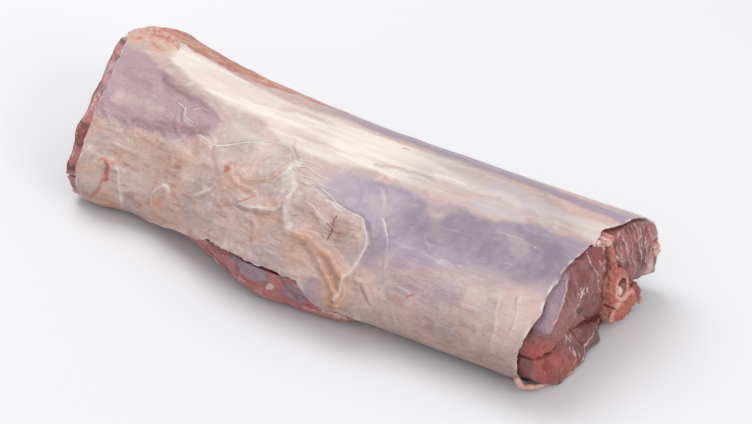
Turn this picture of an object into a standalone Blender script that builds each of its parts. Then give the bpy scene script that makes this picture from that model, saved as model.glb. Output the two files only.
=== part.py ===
# Raw saddle of kid: both loins on the backbone, flanks tucked under, under one sheet of white fascia.
# X runs along the back towards the open cut, Y across it, Z up. The saddle lies on its flanks, back up.
# Sizes are in drawing units until the meshes are made. "left" is the -Y side and "right" the +Y side.
import math

import bmesh
import bpy
from mathutils import Vector, noise

UNIT = 0.00093  # metres to one drawing unit: sets the real size of the whole saddle
GAP = 0.36  # clearance between neighbouring solids
TOUCH = 0.5 * GAP

# The outline across the back at five places along X. "a" is a half width measured from the ridge,
# "z" the height of the widest point, "tuck" how far the lower edge turns in under it.
STATION_X = (-168.0, -95.0, -15.0, 70.0, 160.0)
OUTLINE = {
    "ridge_y": (45.0, 32.0, 27.0, 28.0, 26.0),
    "ridge_z": (70.0, 68.0, 67.0, 66.0, 64.0),
    "a_left": (93.0, 71.0, 86.0, 80.0, 74.0),
    "a_right": (44.0, 42.0, 41.0, 42.0, 52.0),
    "z_left": (20.0, 19.0, 24.0, 26.0, 28.0),
    "z_right": (40.0, 36.0, 34.0, 32.0, 30.0),
    "tuck_left": (14.0, 18.0, 20.0, 24.0, 26.0),
    "tuck_right": (10.0, 10.0, 10.0, 9.0, 9.0),
}
ROOF_POWER = {"left": 1.75, "right": 2.1}  # 2 is an ellipse, less is a straighter slope

# Where the box of the finished part has its centre, so that the origin comes to its base.
CENTRE_X = -4.128
CENTRE_Y = 11.3429

# Fascia sheet
FASCIA_THICK = 1.2
MEAT_DEPTH = FASCIA_THICK + 2.3 * GAP
FASCIA_CUT_X = 158.0  # its edge at the open cut
FASCIA_FAR_X = -173.0  # its edge at the other end, on the ridge
FASCIA_COLUMNS = 46
FASCIA_ROWS = 28

# Backbone, drawn up a line that leans with the saddle
SPINE_OFFSET = 13.0  # the body of a vertebra stands this far to the right of the ridge
SPINE_BASE_Z = 12.0
BODY_HALF_WIDTH = 12.5
BODY_HALF_HEIGHT = 9.5
ARCH_HALF_WIDTH = 9.0
ARCH_HALF_HEIGHT = 12.0
ARCH_UP = 15.0
PROCESS_HALF_WIDTH = 1.8
PROCESS_SHORT_OF_RIDGE = 7.0
CANAL_UP = 15.5
CANAL_RADII = (4.4, 5.8)
CORD_RADII = (2.7, 3.4)

# Muscles
END_RINGS = (0.93, 0.74, 0.44, 0.12)  # sizes of the rings that close a cut end


def smooth(low, high, value):
    """0 below low, 1 above high, and an even slope between."""
    t = min(1.0, max(0.0, (value - low) / (high - low)))
    return t * t * (3.0 - 2.0 * t)


def bump(value, centre, reach):
    """1 at the centre, fading to 0 at the reach on either side."""
    return 1.0 - smooth(0.0, reach, abs(value - centre))


def outline(name, x):
    """A value of the outline at x: a smooth curve through its stations, and straight on past them."""
    values = OUTLINE[name]
    last = len(values) - 1

    def slope(k):
        before, after = max(k - 1, 0), min(k + 1, last)
        return (values[after] - values[before]) / (STATION_X[after] - STATION_X[before])

    if x <= STATION_X[0]:
        return values[0] + slope(0) * (x - STATION_X[0])
    if x >= STATION_X[last]:
        return values[last] + slope(last) * (x - STATION_X[last])
    i = max(k for k in range(last) if STATION_X[k] <= x)
    step = STATION_X[i + 1] - STATION_X[i]
    t = (x - STATION_X[i]) / step
    rise = values[i + 1] - values[i]
    start, end = slope(i) * step, slope(i + 1) * step
    bend = (3 * rise - 2 * start - end) * t**2 + (start + end - 2 * rise) * t**3
    return values[i] + start * t + bend


def outline_point(x, v):
    """The outside at x, as (y, z). v is 0 on the ridge, 1 at the widest place and 2 on the floor."""
    side = "left" if v < 0 else "right"
    half, widest, tuck = (outline(f"{name}_{side}", x) for name in ("a", "z", "tuck"))
    ridge = outline("ridge_z", x)
    turn = min(abs(v), 1.0) * math.pi / 2
    power = 2.0 / ROOF_POWER[side]
    if abs(v) <= 1.0:
        out = half * math.sin(turn) ** power
        up = widest + (ridge - widest) * math.cos(turn) ** power
    else:
        under = min(abs(v) - 1.0, 1.0) * math.pi / 2
        out = half - tuck * (1.0 - math.cos(under))
        up = widest * (1.0 - math.sin(under))
    return outline("ridge_y", x) + math.copysign(out, v), up


def surface(x, v, depth):
    """A point this deep under the outside, as (y, z); a negative depth stands proud of it."""
    step = 0.01
    y, z = outline_point(x, v)
    ahead = outline_point(x, min(v + step, 2.0))
    behind = outline_point(x, max(v - step, -2.0))
    along = Vector((ahead[0] - behind[0], ahead[1] - behind[1])).normalized()
    return y - depth * -along.y, z - depth * along.x


def girth(x, v):
    """The distance round the outside from the ridge to v, negative on the left."""
    steps = 12
    points = [Vector(outline_point(x, v * k / steps)) for k in range(steps + 1)]
    return math.copysign(sum((b - a).length for a, b in zip(points, points[1:])), v)


def distance_to_path(x, s, path):
    """How far (x, s) is from a path of straight pieces."""
    here = Vector((x, s))
    nearest = 1e9
    for a, b in zip(path, path[1:]):
        a, b = Vector(a), Vector(b)
        t = max(0.0, min(1.0, (here - a).dot(b - a) / (b - a).length_squared))
        nearest = min(nearest, (here - a.lerp(b, t)).length)
    return nearest


# Forms that stand up from the fascia, placed by distance along X and round the back from the ridge
FLAP_RIM = ((-8, -47), (10, -45), (28, -48), (42, -53), (51, -62), (54, -73), (51, -86), (46, -96))
FLAP_HEIGHT = 1.7
FAT_ROLL = ((12, -73), (27, -73), (38, -76), (45, -81), (48, -86), (46, -93), (43, -100))
FAT_ROLL_HEIGHT = 3.0
SECOND_ROLL = ((24, -82), (34, -83), (40, -89), (41, -95))
SECOND_ROLL_HEIGHT = 2.0
CORNER_PAD = (-132.0, -96.0, 16.0, 2.2)  # x, distance round, reach and height
EDGE_SWELLING = (29.0, -98.0, 14.0, 2.6)
SMALL_FOLDS = (
    ((-28, -70), (-18, -69), (-4, -65), 1.6),
    ((-1, -61), (7, -70), (14, -79), 1.2),
    ((-63, -45), (-38, -30), (-16, -30), 1.1),
    ((-91, -82), (-83, -86), (-74, -82), 1.6),
)


def swelling(x, s, place):
    """Height of a round, soft rise."""
    centre_x, centre_s, reach, height = place
    away = math.hypot(x - centre_x, s - centre_s)
    return height * (1.0 - smooth(0.0, reach, away))


def flap_edge(x, s):
    """Height of the loose flap of membrane: full inside its rim, fading towards the far end."""
    rim = distance_to_path(x, s, FLAP_RIM)
    middle = Vector((14.0, -72.0))
    inside = any(
        (Vector(b) - Vector(a)).cross(Vector((x, s)) - Vector(a)) < 0.0
        and abs((Vector(a) + Vector(b)).y / 2 - s) < 9.0
        for a, b in zip(FLAP_RIM, FLAP_RIM[1:])
    )
    within = inside or (Vector((x, s)) - middle).length < 22.0
    fade = smooth(-70.0, 0.0, x)
    return FLAP_HEIGHT * fade * (1.0 if within else 1.0 - smooth(0.0, 4.0, rim))


def relief(x, v):
    """How far the fascia stands proud: folds, fat and the wrinkled side."""
    s = girth(x, v)
    height = flap_edge(x, s)
    height += FAT_ROLL_HEIGHT * (1.0 - smooth(0.0, 6.0, distance_to_path(x, s, FAT_ROLL)))
    height += SECOND_ROLL_HEIGHT * (1.0 - smooth(0.0, 5.0, distance_to_path(x, s, SECOND_ROLL)))
    height += swelling(x, s, CORNER_PAD) + swelling(x, s, EDGE_SWELLING)
    for *path, rise in SMALL_FOLDS:
        height += rise * (1.0 - smooth(0.0, 5.0, distance_to_path(x, s, path)))
    wrinkled = smooth(-40.0, -60.0, s) * smooth(70.0, 40.0, x)
    ripple = noise.noise(Vector((x * 0.05, s * 0.09, 3.0)))
    return height + wrinkled * (0.9 + 1.1 * ripple)


def fascia_left_edge(x):
    """How far down the left side the sheet reaches: short of the red flank in the middle."""
    open_stretch = smooth(-84.0, -46.0, x) * smooth(88.0, 50.0, x)
    shorter = 0.58 - 0.16 * smooth(-8.0, 15.0, x)
    return -1.58 + open_stretch * shorter


def fascia_right_edge(x):
    """How far down the right side the sheet reaches: higher up at the open cut."""
    return 1.55 - 0.6 * smooth(100.0, 152.0, x)


def far_cut_x(y):
    """The sheet's edge at the far end: furthest out on the ridge, and slanting back down both sides."""
    away = 45.0 - y
    if away < 0.0:
        return FASCIA_FAR_X - 0.6 * away
    return FASCIA_FAR_X + 0.52 * away - 0.0023 * away**2


def near_cut_x(v):
    """The sheet's edge at the open cut: drawn back along the left side, where it has come away."""
    drawn_back = 6.0 * bump(v, -0.5, 0.55) + 4.0 * bump(v, -1.1, 0.4)
    return FASCIA_CUT_X - drawn_back + 5.0 * smooth(0.1, 0.6, v)


def object_of(name, mesh_maker, colour, roughness):
    """Links one named object, with its own material, made by the given maker."""
    bm = bmesh.new()
    mesh_maker(bm)
    bmesh.ops.recalc_face_normals(bm, faces=bm.faces)
    mesh = bpy.data.meshes.new(name)
    bm.to_mesh(mesh)
    bm.free()
    obj = bpy.data.objects.new(name, mesh)
    bpy.context.scene.collection.objects.link(obj)
    mesh.shade_smooth()
    mesh.set_sharp_from_angle(angle=math.radians(50))
    material = bpy.data.materials.new(name)
    material.use_nodes = True
    shader = material.node_tree.nodes["Principled BSDF"]
    shader.inputs["Base Color"].default_value = (*colour, 1.0)
    shader.inputs["Roughness"].default_value = roughness
    shader.inputs["Metallic"].default_value = 0.0
    mesh.materials.append(material)
    return obj


def placed(x, y, z):
    """A point of the design in the part's own frame, in metres."""
    return Vector((x - CENTRE_X, y - CENTRE_Y, z)) * UNIT


def loft(bm, rings):
    """A closed body through rings of equal count: a grid rolled up, welded and filled at both ends."""
    count = len(rings[0])
    grid = bmesh.ops.create_grid(bm, x_segments=len(rings) - 1, y_segments=count, size=1.0)
    verts = sorted(grid["verts"], key=lambda vert: (round(vert.co.x, 6), round(vert.co.y, 6)))
    for i, ring in enumerate(rings):
        for j in range(count + 1):
            verts[i * (count + 1) + j].co = placed(*ring[j % count])
    bmesh.ops.remove_doubles(bm, verts=bm.verts, dist=1e-7)
    bmesh.ops.holes_fill(bm, edges=[edge for edge in bm.edges if edge.is_boundary], sides=0)


def make_fascia(bm):
    """The sheet over the back: an outer face with all its folds, and a plain inner face."""
    rings = []
    for i in range(FASCIA_COLUMNS + 1):
        share = i / FASCIA_COLUMNS
        nominal = FASCIA_FAR_X + 12.0 + share * (FASCIA_CUT_X - FASCIA_FAR_X - 18.0)
        low = fascia_left_edge(nominal)
        low_y, _ = outline_point(nominal, low)
        low = fascia_left_edge(far_cut_x(low_y) + share * (near_cut_x(low) - far_cut_x(low_y)))
        high = fascia_right_edge(nominal)
        outer, inner = [], []
        for j in range(FASCIA_ROWS + 1):
            v = low + (high - low) * j / FASCIA_ROWS
            y, _ = outline_point(nominal, v)
            x = far_cut_x(y) + share * (near_cut_x(v) - far_cut_x(y))
            ragged = 1.2 * noise.noise(Vector((v * 6.0, share * 3.0, 7.0)))
            x += ragged * (smooth(0.9, 1.0, share) + smooth(0.1, 0.0, share))
            lifted = 2.2 * smooth(0.94, 1.0, share) * bump(v, -0.55, 0.5)
            near_rim = min(j, FASCIA_ROWS - j, i, FASCIA_COLUMNS - i)
            proud = relief(x, v) * min(1.0, near_rim / 2.0)
            outer.append((x, *surface(x, v, -proud - lifted)))
            inner.append((x, *surface(x, v, FASCIA_THICK - lifted)))
        rings.append(outer + inner[::-1])
    count = FASCIA_ROWS + 1
    grid = bmesh.ops.create_grid(bm, x_segments=FASCIA_COLUMNS, y_segments=2 * count, size=1.0)
    verts = sorted(grid["verts"], key=lambda vert: (round(vert.co.x, 6), round(vert.co.y, 6)))
    wide = 2 * count + 1
    for i, ring in enumerate(rings):
        for j in range(wide):
            verts[i * wide + j].co = placed(*ring[j % (2 * count)])
    ends = [[verts[i * wide + j] for j in range(2 * count)] for i in (0, FASCIA_COLUMNS)]
    for end in ends:
        for j in range(FASCIA_ROWS):
            bm.faces.new((end[j], end[j + 1], end[-2 - j], end[-1 - j]))
    bmesh.ops.remove_doubles(bm, verts=bm.verts, dist=1e-7)


def spine_frame(x):
    """(base, direction up, direction right) of the backbone at x, in the plane across it."""
    ridge = Vector((outline("ridge_y", x), outline("ridge_z", x)))
    base = Vector((outline("ridge_y", x) + SPINE_OFFSET, SPINE_BASE_Z))
    up = (ridge - base).normalized()
    return base, up, Vector((up.y, -up.x))


def spine_height(x):
    """How far up the leaning line the bony process reaches."""
    base, _, _ = spine_frame(x)
    ridge = Vector((outline("ridge_y", x), outline("ridge_z", x)))
    return (ridge - base).length - PROCESS_SHORT_OF_RIDGE


def spine_half_width(q):
    """Half the backbone's width at height q on its line."""
    body = BODY_HALF_WIDTH * math.sqrt(max(0.0, 1.0 - (q / BODY_HALF_HEIGHT) ** 2))
    arch = math.sqrt(max(0.0, 1.0 - ((q - ARCH_UP) / ARCH_HALF_HEIGHT) ** 2)) * ARCH_HALF_WIDTH
    taper = PROCESS_HALF_WIDTH * (1.0 - 0.3 * smooth(28.0, 48.0, q))
    process = taper if q > 10.0 else 0.0
    return (body**4 + arch**4 + process**4) ** 0.25


def spine_point(x, p, q):
    """The point (y, z) that lies p to the right of the spine's line and q up it."""
    base, up, right = spine_frame(x)
    return tuple(base + right * p + up * q)


BONE_LEVELS = (-9.4, -8.2, -6.0, -3.0, 0.5, 4.0, 7.0, 10.0, 14.0, 18.0, 21.5, 24.5, 26.5, 29.0, 36.0)


def backbone_ring(x):
    top = spine_height(x)
    levels = [*BONE_LEVELS, top - 4.0, top]
    right = [spine_point(x, spine_half_width(q), q) for q in levels]
    left = [spine_point(x, -spine_half_width(q), q) for q in reversed(levels)]
    return right + left


def bone_wall(x, side, levels):
    """Points beside the backbone at these heights, a gap away from it. side is -1 or 1."""
    return [spine_point(x, side * (spine_half_width(q) + GAP), q) for q in levels]


def straight(a, b, count, sag=0.0):
    """Points from a to b, both left out, bowed to the left of the way by sag."""
    a, b = Vector(a), Vector(b)
    across = Vector((-(b - a).y, (b - a).x)).normalized()
    inner = [(k + 1) / (count + 1) for k in range(count)]
    return [tuple(a.lerp(b, t) + across * sag * 4.0 * t * (1.0 - t)) for t in inner]


def drawn_in(ring, amount):
    """The ring moved inwards by this much all round."""
    area = sum(a[0] * b[1] - b[0] * a[1] for a, b in zip(ring, ring[1:] + ring[:1]))
    turn = 1.0 if area > 0 else -1.0
    moved = []
    for before, here, after in zip(ring[-1:] + ring[:-1], ring, ring[1:] + ring[:1]):
        along = (Vector(after) - Vector(before)).normalized()
        moved.append((here[0] - turn * along.y * amount, here[1] + turn * along.x * amount))
    return moved


def meat_depth(x, v):
    """How deep the meat lies under the outside: under the sheet, or swelling out below its edge."""
    if v < 0:
        edge = min(fascia_left_edge(x + step) for step in (-14.0, 0.0, 14.0))
        bare = smooth(0.14, 0.36, edge - v)
        swell = 4.0 * smooth(-62.0, -30.0, x) * smooth(72.0, 48.0, x) * bump(v, -1.45, 0.42)
    else:
        edge = max(fascia_right_edge(x + step) for step in (-14.0, 0.0, 14.0))
        bare = smooth(0.1, 0.34, v - edge)
        swell = 0.0
    return MEAT_DEPTH * (1.0 - bare) - swell * bare


def outer_arc(x, start, end, count):
    """Points of the meat's outside from v=start to v=end."""
    values = [start + (end - start) * k / (count - 1) for k in range(count)]
    return [surface(x, v, meat_depth(x, v)) for v in values]


def joint_of(x, side):
    """The place beside the backbone where loin, flank and tenderloin meet."""
    q = 2.0
    return spine_point(x, side * (spine_half_width(q) + GAP), q)


def seam_outer(x, side):
    """How far round the outside the seam between loin and flank lies."""
    return -0.94 if side < 0 else 1.02 + 0.42 * smooth(50.0, 165.0, x)


def seam_inner(x, side):
    """The place on the seam under the loin where the flank ends and the tenderloin begins."""
    outer = Vector(surface(x, seam_outer(x, side), MEAT_DEPTH))
    return tuple(outer.lerp(Vector(joint_of(x, side)), 0.62 if side < 0 else 0.45))


def under_edge(x, side):
    """Where the flank's foot ends on the floor, beside the tenderloin."""
    base, _, _ = spine_frame(x)
    return (base.x - 36.0, 0.0) if side < 0 else (base.x + 14.0, 0.0)


def loin_ring(x, side):
    """The eye of the loin: from the ridge round to the seam, in to the backbone and up beside it."""
    top = spine_height(x)
    arc = outer_arc(x, side * 0.075, seam_outer(x, side), 13)
    levels = [q for q in BONE_LEVELS if q > 2.0]
    inner = bone_wall(x, side, [*levels, top - 4.0, top])
    seam = straight(arc[-1], inner[0], 5)
    return drawn_in(arc + seam + inner, TOUCH)


def flank_ring(x, side):
    """The flank: from the seam down round the outside, along the floor and back up inside."""
    arc = outer_arc(x, seam_outer(x, side) + side * 0.02, side * 2.0, 13)
    foot, corner = under_edge(x, side), seam_inner(x, side)
    corner = (corner[0], corner[1] - GAP)
    floor = straight(arc[-1], foot, 4)
    rise = straight(foot, corner, 3)
    seam = straight(corner, arc[0], 4)
    ring = drawn_in(arc + floor + [foot] + rise + [corner] + seam, TOUCH + 0.25)
    return [(y, 0.0 if z < 3.5 * TOUCH else z) for y, z in ring]


def tenderloin_ring(x, side):
    """The tenderloin: under the loin, between the backbone and the flank, clear of the floor."""
    corner, foot = Vector(seam_inner(x, side)), Vector(under_edge(x, side))
    wall = bone_wall(x, side, [q for q in reversed(BONE_LEVELS) if -7.0 < q < 2.0])
    low = Vector((foot.x, 0.0)).lerp(corner, 0.22)
    seam = straight(corner, wall[0], 3)
    below = straight(wall[-1], low, 3, sag=-1.5 * side)
    rise = straight(low, corner, 2)
    return drawn_in([tuple(corner)] + seam + wall + below + [tuple(low)] + rise, TOUCH + 0.1)


def ridge_fat_ring(x):
    """The wedge of fat over the bony process, between the two loins."""
    left, right = surface(x, -0.06, MEAT_DEPTH), surface(x, 0.06, MEAT_DEPTH)
    middle = surface(x, 0.0, MEAT_DEPTH)
    top = spine_height(x) + 2.0 * GAP
    half = PROCESS_HALF_WIDTH + GAP
    low_right, low_left = spine_point(x, half, top), spine_point(x, -half, top)
    ring = [left, *straight(left, middle, 1), middle, *straight(middle, right, 1), right]
    ring += [*straight(right, low_right, 1), low_right, low_left, *straight(low_left, left, 1)]
    return drawn_in(ring, TOUCH + 0.1)


def left_end_x(y, setback):
    """The far cut of the meat: it stands out past the sheet's edge, most of all low on the left."""
    away = 45.0 - y
    if away < 0.0:
        return -177.0 - 0.6 * away + setback
    return -177.0 + 0.44 * away - 0.0017 * away**2 + setback


def right_end_x(y, z, setback):
    """The open cut of the meat: forward on the right, low on the left and where the flank tucks under."""
    forward = 0.04 * (y + 10.0) + 0.0009 * max(0.0, y + 10.0) ** 2
    forward += 4.5 * bump(y, -34.0, 24.0) * smooth(12.0, 26.0, z)
    tucked = 8.0 * smooth(18.0, 4.0, z) * smooth(-52.0, -20.0, y) * smooth(26.0, 18.0, y)
    return 159.5 + forward + tucked - setback


def cut_length(bm, ring_at, bulge, setback=(0.0, 0.0), stations=16):
    """A muscle along the saddle: its rings from cut to cut, each end closed by a low dome."""
    rings = []
    for k in range(stations + 1):
        share = k / stations
        lengthwise = []
        for y, z in ring_at(-166.0 + share * 326.0):
            first, last = left_end_x(y, setback[0]), right_end_x(y, z, setback[1])
            lengthwise.append(first + share * (last - first))
        low, high = min(lengthwise), max(lengthwise)
        rings.append([])
        for x, a, b in zip(lengthwise, ring_at(low), ring_at(high)):
            t = (x - low) / max(high - low, 1e-6)
            rings[-1].append((x, a[0] + t * (b[0] - a[0]), a[1] + t * (b[1] - a[1])))
    rings[:0] = closing_rings(rings[0], -bulge[0])[::-1]
    rings += closing_rings(rings[-1], bulge[1])
    loft(bm, rings)


def closing_rings(ring, bulge):
    """Smaller and smaller rings that close an end, standing out by the bulge in the middle."""
    middle = sum((Vector(point) for point in ring), Vector()) / len(ring)
    closing = []
    for size in END_RINGS:
        points = [middle.lerp(Vector(point), size) for point in ring]
        rough = [0.5 * noise.noise(point * 0.16) for point in points]
        out = bulge * (1.0 - size**3)
        sign = math.copysign(1.0, bulge)
        closing.append([(p.x + out + sign * r * (1.0 - size), p.y, p.z) for p, r in zip(points, rough)])
    return closing


def make_loin(side):
    return lambda bm: cut_length(bm, lambda x: loin_ring(x, side), bulge=(5.0, 2.5))


def make_flank(side):
    setback = (0.0, 1.0) if side < 0 else (6.0, 24.0)
    return lambda bm: cut_length(bm, lambda x: flank_ring(x, side), (4.0, 3.5), setback)


def make_tenderloin(side):
    setback = (4.0, 1.0) if side < 0 else (6.0, 16.0)
    return lambda bm: cut_length(bm, lambda x: tenderloin_ring(x, side), (2.0, 2.0), setback, 11)


def make_backbone(bm):
    cut_length(bm, backbone_ring, bulge=(1.5, 2.2), setback=(-2.0, -4.5), stations=13)


def oval_ring(x, radii, up, count, shift=0.0):
    """An oval round the spinal canal's line."""
    points = []
    for k in range(count):
        turn = 2 * math.pi * k / count
        points.append(spine_point(x, shift + radii[0] * math.cos(turn), up + radii[1] * math.sin(turn)))
    return points


def make_canal(bm):
    """The cutter for the spinal canal, longer than the backbone."""
    cut_length(bm, lambda x: oval_ring(x, CANAL_RADII, CANAL_UP, 14), (1.0, 1.0), (-14.0, -16.0), 9)


def cord_ring(x):
    return oval_ring(x, CORD_RADII, CANAL_UP - 1.2, 10, shift=-0.9)


def make_spinal_cord(bm):
    cut_length(bm, cord_ring, (1.0, 1.2), (0.0, -1.5), 9)


def make_ridge_fat(bm):
    cut_length(bm, ridge_fat_ring, (1.5, 1.5), (2.0, -1.0), 10)


def build():
    for obj in list(bpy.data.objects):
        bpy.data.objects.remove(obj)
    red, pale_red = (0.27, 0.075, 0.06), (0.36, 0.11, 0.09)
    object_of("fascia", make_fascia, (0.62, 0.47, 0.46), 0.42)
    object_of("ridge_fat", make_ridge_fat, (0.74, 0.56, 0.48), 0.5)
    for name, side in (("left", -1), ("right", 1)):
        object_of(f"loin_{name}", make_loin(side), red, 0.4)
        object_of(f"flank_{name}", make_flank(side), pale_red, 0.4)
        object_of(f"tenderloin_{name}", make_tenderloin(side), red, 0.4)
    backbone = object_of("backbone", make_backbone, (0.50, 0.16, 0.11), 0.55)
    object_of("spinal_cord", make_spinal_cord, (0.78, 0.66, 0.56), 0.4)
    canal = object_of("canal_cutter", make_canal, (0.5, 0.5, 0.5), 0.5)
    canal.hide_render = True
    canal.display_type = "WIRE"
    hollow = backbone.modifiers.new("canal", "BOOLEAN")
    hollow.operation = "DIFFERENCE"
    hollow.solver = "EXACT"
    hollow.object = canal


build()
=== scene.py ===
import math
import random

import bmesh
import bpy
import numpy as np
from mathutils import Matrix, Vector, noise


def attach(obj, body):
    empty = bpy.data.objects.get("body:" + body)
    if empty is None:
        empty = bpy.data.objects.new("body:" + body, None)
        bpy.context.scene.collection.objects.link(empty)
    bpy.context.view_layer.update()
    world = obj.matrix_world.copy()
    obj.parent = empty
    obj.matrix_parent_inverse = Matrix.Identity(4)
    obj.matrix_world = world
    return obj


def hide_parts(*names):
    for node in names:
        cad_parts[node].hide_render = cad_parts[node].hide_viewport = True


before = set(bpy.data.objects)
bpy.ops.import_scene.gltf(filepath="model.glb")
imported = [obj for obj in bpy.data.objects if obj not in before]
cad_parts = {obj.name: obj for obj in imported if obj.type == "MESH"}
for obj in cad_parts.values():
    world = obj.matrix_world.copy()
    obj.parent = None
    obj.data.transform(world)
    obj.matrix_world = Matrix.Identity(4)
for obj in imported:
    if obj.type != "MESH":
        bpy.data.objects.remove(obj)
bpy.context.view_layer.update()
print("frame loaded:", len(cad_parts), "nodes")

unit = 0.00093
centre = np.array((-4.128, 11.3429, 0.0))

# the outline across the back at five places along X, as the solids have it
stationX = np.array((-168.0, -95.0, -15.0, 70.0, 160.0))
outlineShape = {
    "ridgeY": (45.0, 32.0, 27.0, 28.0, 26.0),
    "ridgeZ": (70.0, 68.0, 67.0, 66.0, 64.0),
    "halfLeft": (93.0, 71.0, 86.0, 80.0, 74.0),
    "halfRight": (44.0, 42.0, 41.0, 42.0, 52.0),
    "wideLeft": (20.0, 19.0, 24.0, 26.0, 28.0),
    "wideRight": (40.0, 36.0, 34.0, 32.0, 30.0),
    "tuckLeft": (14.0, 18.0, 20.0, 24.0, 26.0),
    "tuckRight": (10.0, 10.0, 10.0, 9.0, 9.0),
}
roofPowerLeft = 1.75
roofPowerRight = 2.1


def smooth(low, high, value):
    t = np.clip((value - low) / (high - low), 0.0, 1.0)
    return t * t * (3.0 - 2.0 * t)


def bump(value, middle, reach):
    return 1.0 - smooth(0.0, reach, np.abs(value - middle))


def outlineAt(name, x):
    values = np.array(outlineShape[name])
    last = len(values) - 1
    slopes = np.array([
        (values[min(k + 1, last)] - values[max(k - 1, 0)])
        / (stationX[min(k + 1, last)] - stationX[max(k - 1, 0)])
        for k in range(last + 1)
    ])
    i = np.clip(np.searchsorted(stationX, x, side="right") - 1, 0, last - 1)
    step = stationX[i + 1] - stationX[i]
    t = np.clip((x - stationX[i]) / step, 0.0, 1.0)
    rise = values[i + 1] - values[i]
    start, end = slopes[i] * step, slopes[i + 1] * step
    bend = (3 * rise - 2 * start - end) * t**2 + (start + end - 2 * rise) * t**3
    past = np.minimum(x - stationX[0], 0.0) * slopes[0] + np.maximum(x - stationX[-1], 0.0) * slopes[-1]
    return values[i] + start * t + bend + past


def outlinePoint(x, v):
    # v is 0 on the ridge, -1 and 1 at the widest places, -2 and 2 on the floor
    left = v < 0
    half = np.where(left, outlineAt("halfLeft", x), outlineAt("halfRight", x))
    wide = np.where(left, outlineAt("wideLeft", x), outlineAt("wideRight", x))
    tuck = np.where(left, outlineAt("tuckLeft", x), outlineAt("tuckRight", x))
    power = np.where(left, 2.0 / roofPowerLeft, 2.0 / roofPowerRight)
    ridge = outlineAt("ridgeZ", x)
    turn = np.minimum(np.abs(v), 1.0) * math.pi / 2
    under = np.clip(np.abs(v) - 1.0, 0.0, 1.0) * math.pi / 2
    roofOut = half * np.sin(turn) ** power
    roofUp = wide + (ridge - wide) * np.maximum(np.cos(turn), 0.0) ** power
    out = np.where(np.abs(v) <= 1.0, roofOut, half - tuck * (1.0 - np.cos(under)))
    up = np.where(np.abs(v) <= 1.0, roofUp, wide * (1.0 - np.sin(under)))
    return outlineAt("ridgeY", x) + np.where(left, -out, out), up


def surfacePoint(x, v, depth):
    step = 0.01
    y, z = outlinePoint(x, v)
    aheadY, aheadZ = outlinePoint(x, np.minimum(v + step, 2.0))
    behindY, behindZ = outlinePoint(x, np.maximum(v - step, -2.0))
    alongY, alongZ = aheadY - behindY, aheadZ - behindZ
    length = np.hypot(alongY, alongZ)
    return y + depth * alongZ / length, z - depth * alongY / length


def girthAt(x, v):
    # distance round the outside from the ridge, negative on the near side
    total = np.zeros_like(x)
    y, z = outlinePoint(x, v * 0.0)
    for k in range(1, 13):
        nextY, nextZ = outlinePoint(x, v * k / 12)
        total = total + np.hypot(nextY - y, nextZ - z)
        y, z = nextY, nextZ
    return np.copysign(total, v)


def grain(a, b, size, seed, stretch=1.0):
    # soft noise from -1 to 1 with features of this size, drawn out along the first direction
    return np.array([noise.noise((p, q, seed)) for p, q in zip(a / (size * stretch), b / size)])


def roughened(start, a, b, *waves):
    # a value moved by noises, each given as height, size and seed
    for height, size, seed in waves:
        start = start + height * grain(a, b, size, seed)
    return start


def creases(a, b, size, seed, stretch=1.0):
    # thin raised lines where the noise passes through nothing
    return 1.0 - np.minimum(1.0, np.abs(grain(a, b, size, seed, stretch)) * 5.0)


def curved(points, parts=4):
    # more points along a path, so that it bends instead of turning corners
    if len(points) < 3:
        return list(points)
    ends = [points[0], *points, points[-1]]
    path = []
    for p, q, r, s in zip(ends, ends[1:], ends[2:], ends[3:]):
        for k in range(parts):
            t = k / parts
            path.append(tuple(
                0.5 * (2 * b + (c - a) * t + (2 * a - 5 * b + 4 * c - d) * t**2
                       + (3 * b - a - 3 * c + d) * t**3)
                for a, b, c, d in zip(p, q, r, s)
            ))
    return path + [points[-1]]


def pathDistance(a, b, points):
    # distance from a path, and the side of it: positive to the left of its direction
    nearest = np.full(len(a), 1e9)
    side = np.ones(len(a))
    for (pa, pb), (qa, qb) in zip(points, points[1:]):
        da, db = qa - pa, qb - pb
        t = np.clip(((a - pa) * da + (b - pb) * db) / (da * da + db * db + 1e-9), 0.0, 1.0)
        away = np.hypot(a - pa - t * da, b - pb - t * db)
        closer = away < nearest
        side = np.where(closer, np.sign(da * (b - pb) - db * (a - pa)), side)
        nearest = np.where(closer, away, nearest)
    return nearest, side


def line(a, b, points, reach):
    return 1.0 - smooth(0.0, reach, pathDistance(a, b, curved(points))[0])


def fold(a, b, points, steep, gentle):
    # a raised edge that drops sharply to the left of its path and slowly to the right
    away, side = pathDistance(a, b, curved(points))
    return np.where(side > 0, 1.0 - smooth(0.0, steep, away), 1.0 - smooth(0.0, gentle, away))


def patch(a, b, points, feather):
    closedPath = curved([*points, points[0]])
    inside = np.zeros(len(a), bool)
    for (pa, pb), (qa, qb) in zip(closedPath, closedPath[1:]):
        inside ^= ((pb > b) != (qb > b)) & (a < (qa - pa) * (b - pb) / (qb - pb + 1e-12) + pa)
    away, _ = pathDistance(a, b, closedPath)
    return smooth(-feather, feather, np.where(inside, away, -away))


def toMetres(points):
    return (np.asarray(points) - centre) * unit


def toUnits(points):
    return np.asarray(points) / unit + centre


def meshPoints(mesh):
    points = np.empty(len(mesh.vertices) * 3, np.float32)
    mesh.vertices.foreach_get("co", points)
    return points.reshape(-1, 3).astype(np.float64)


def meshNormals(mesh):
    normals = np.empty(len(mesh.vertices) * 3, np.float32)
    mesh.vertices.foreach_get("normal", normals)
    return normals.reshape(-1, 3).astype(np.float64)


def setPoints(mesh, points):
    mesh.vertices.foreach_set("co", np.asarray(points, np.float32).ravel())
    mesh.update()


def keepMask(mesh, name, values):
    layer = mesh.attributes.new(name, "FLOAT", "POINT")
    layer.data.foreach_set("value", np.clip(values, 0.0, 1.0).astype(np.float32))


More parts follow.
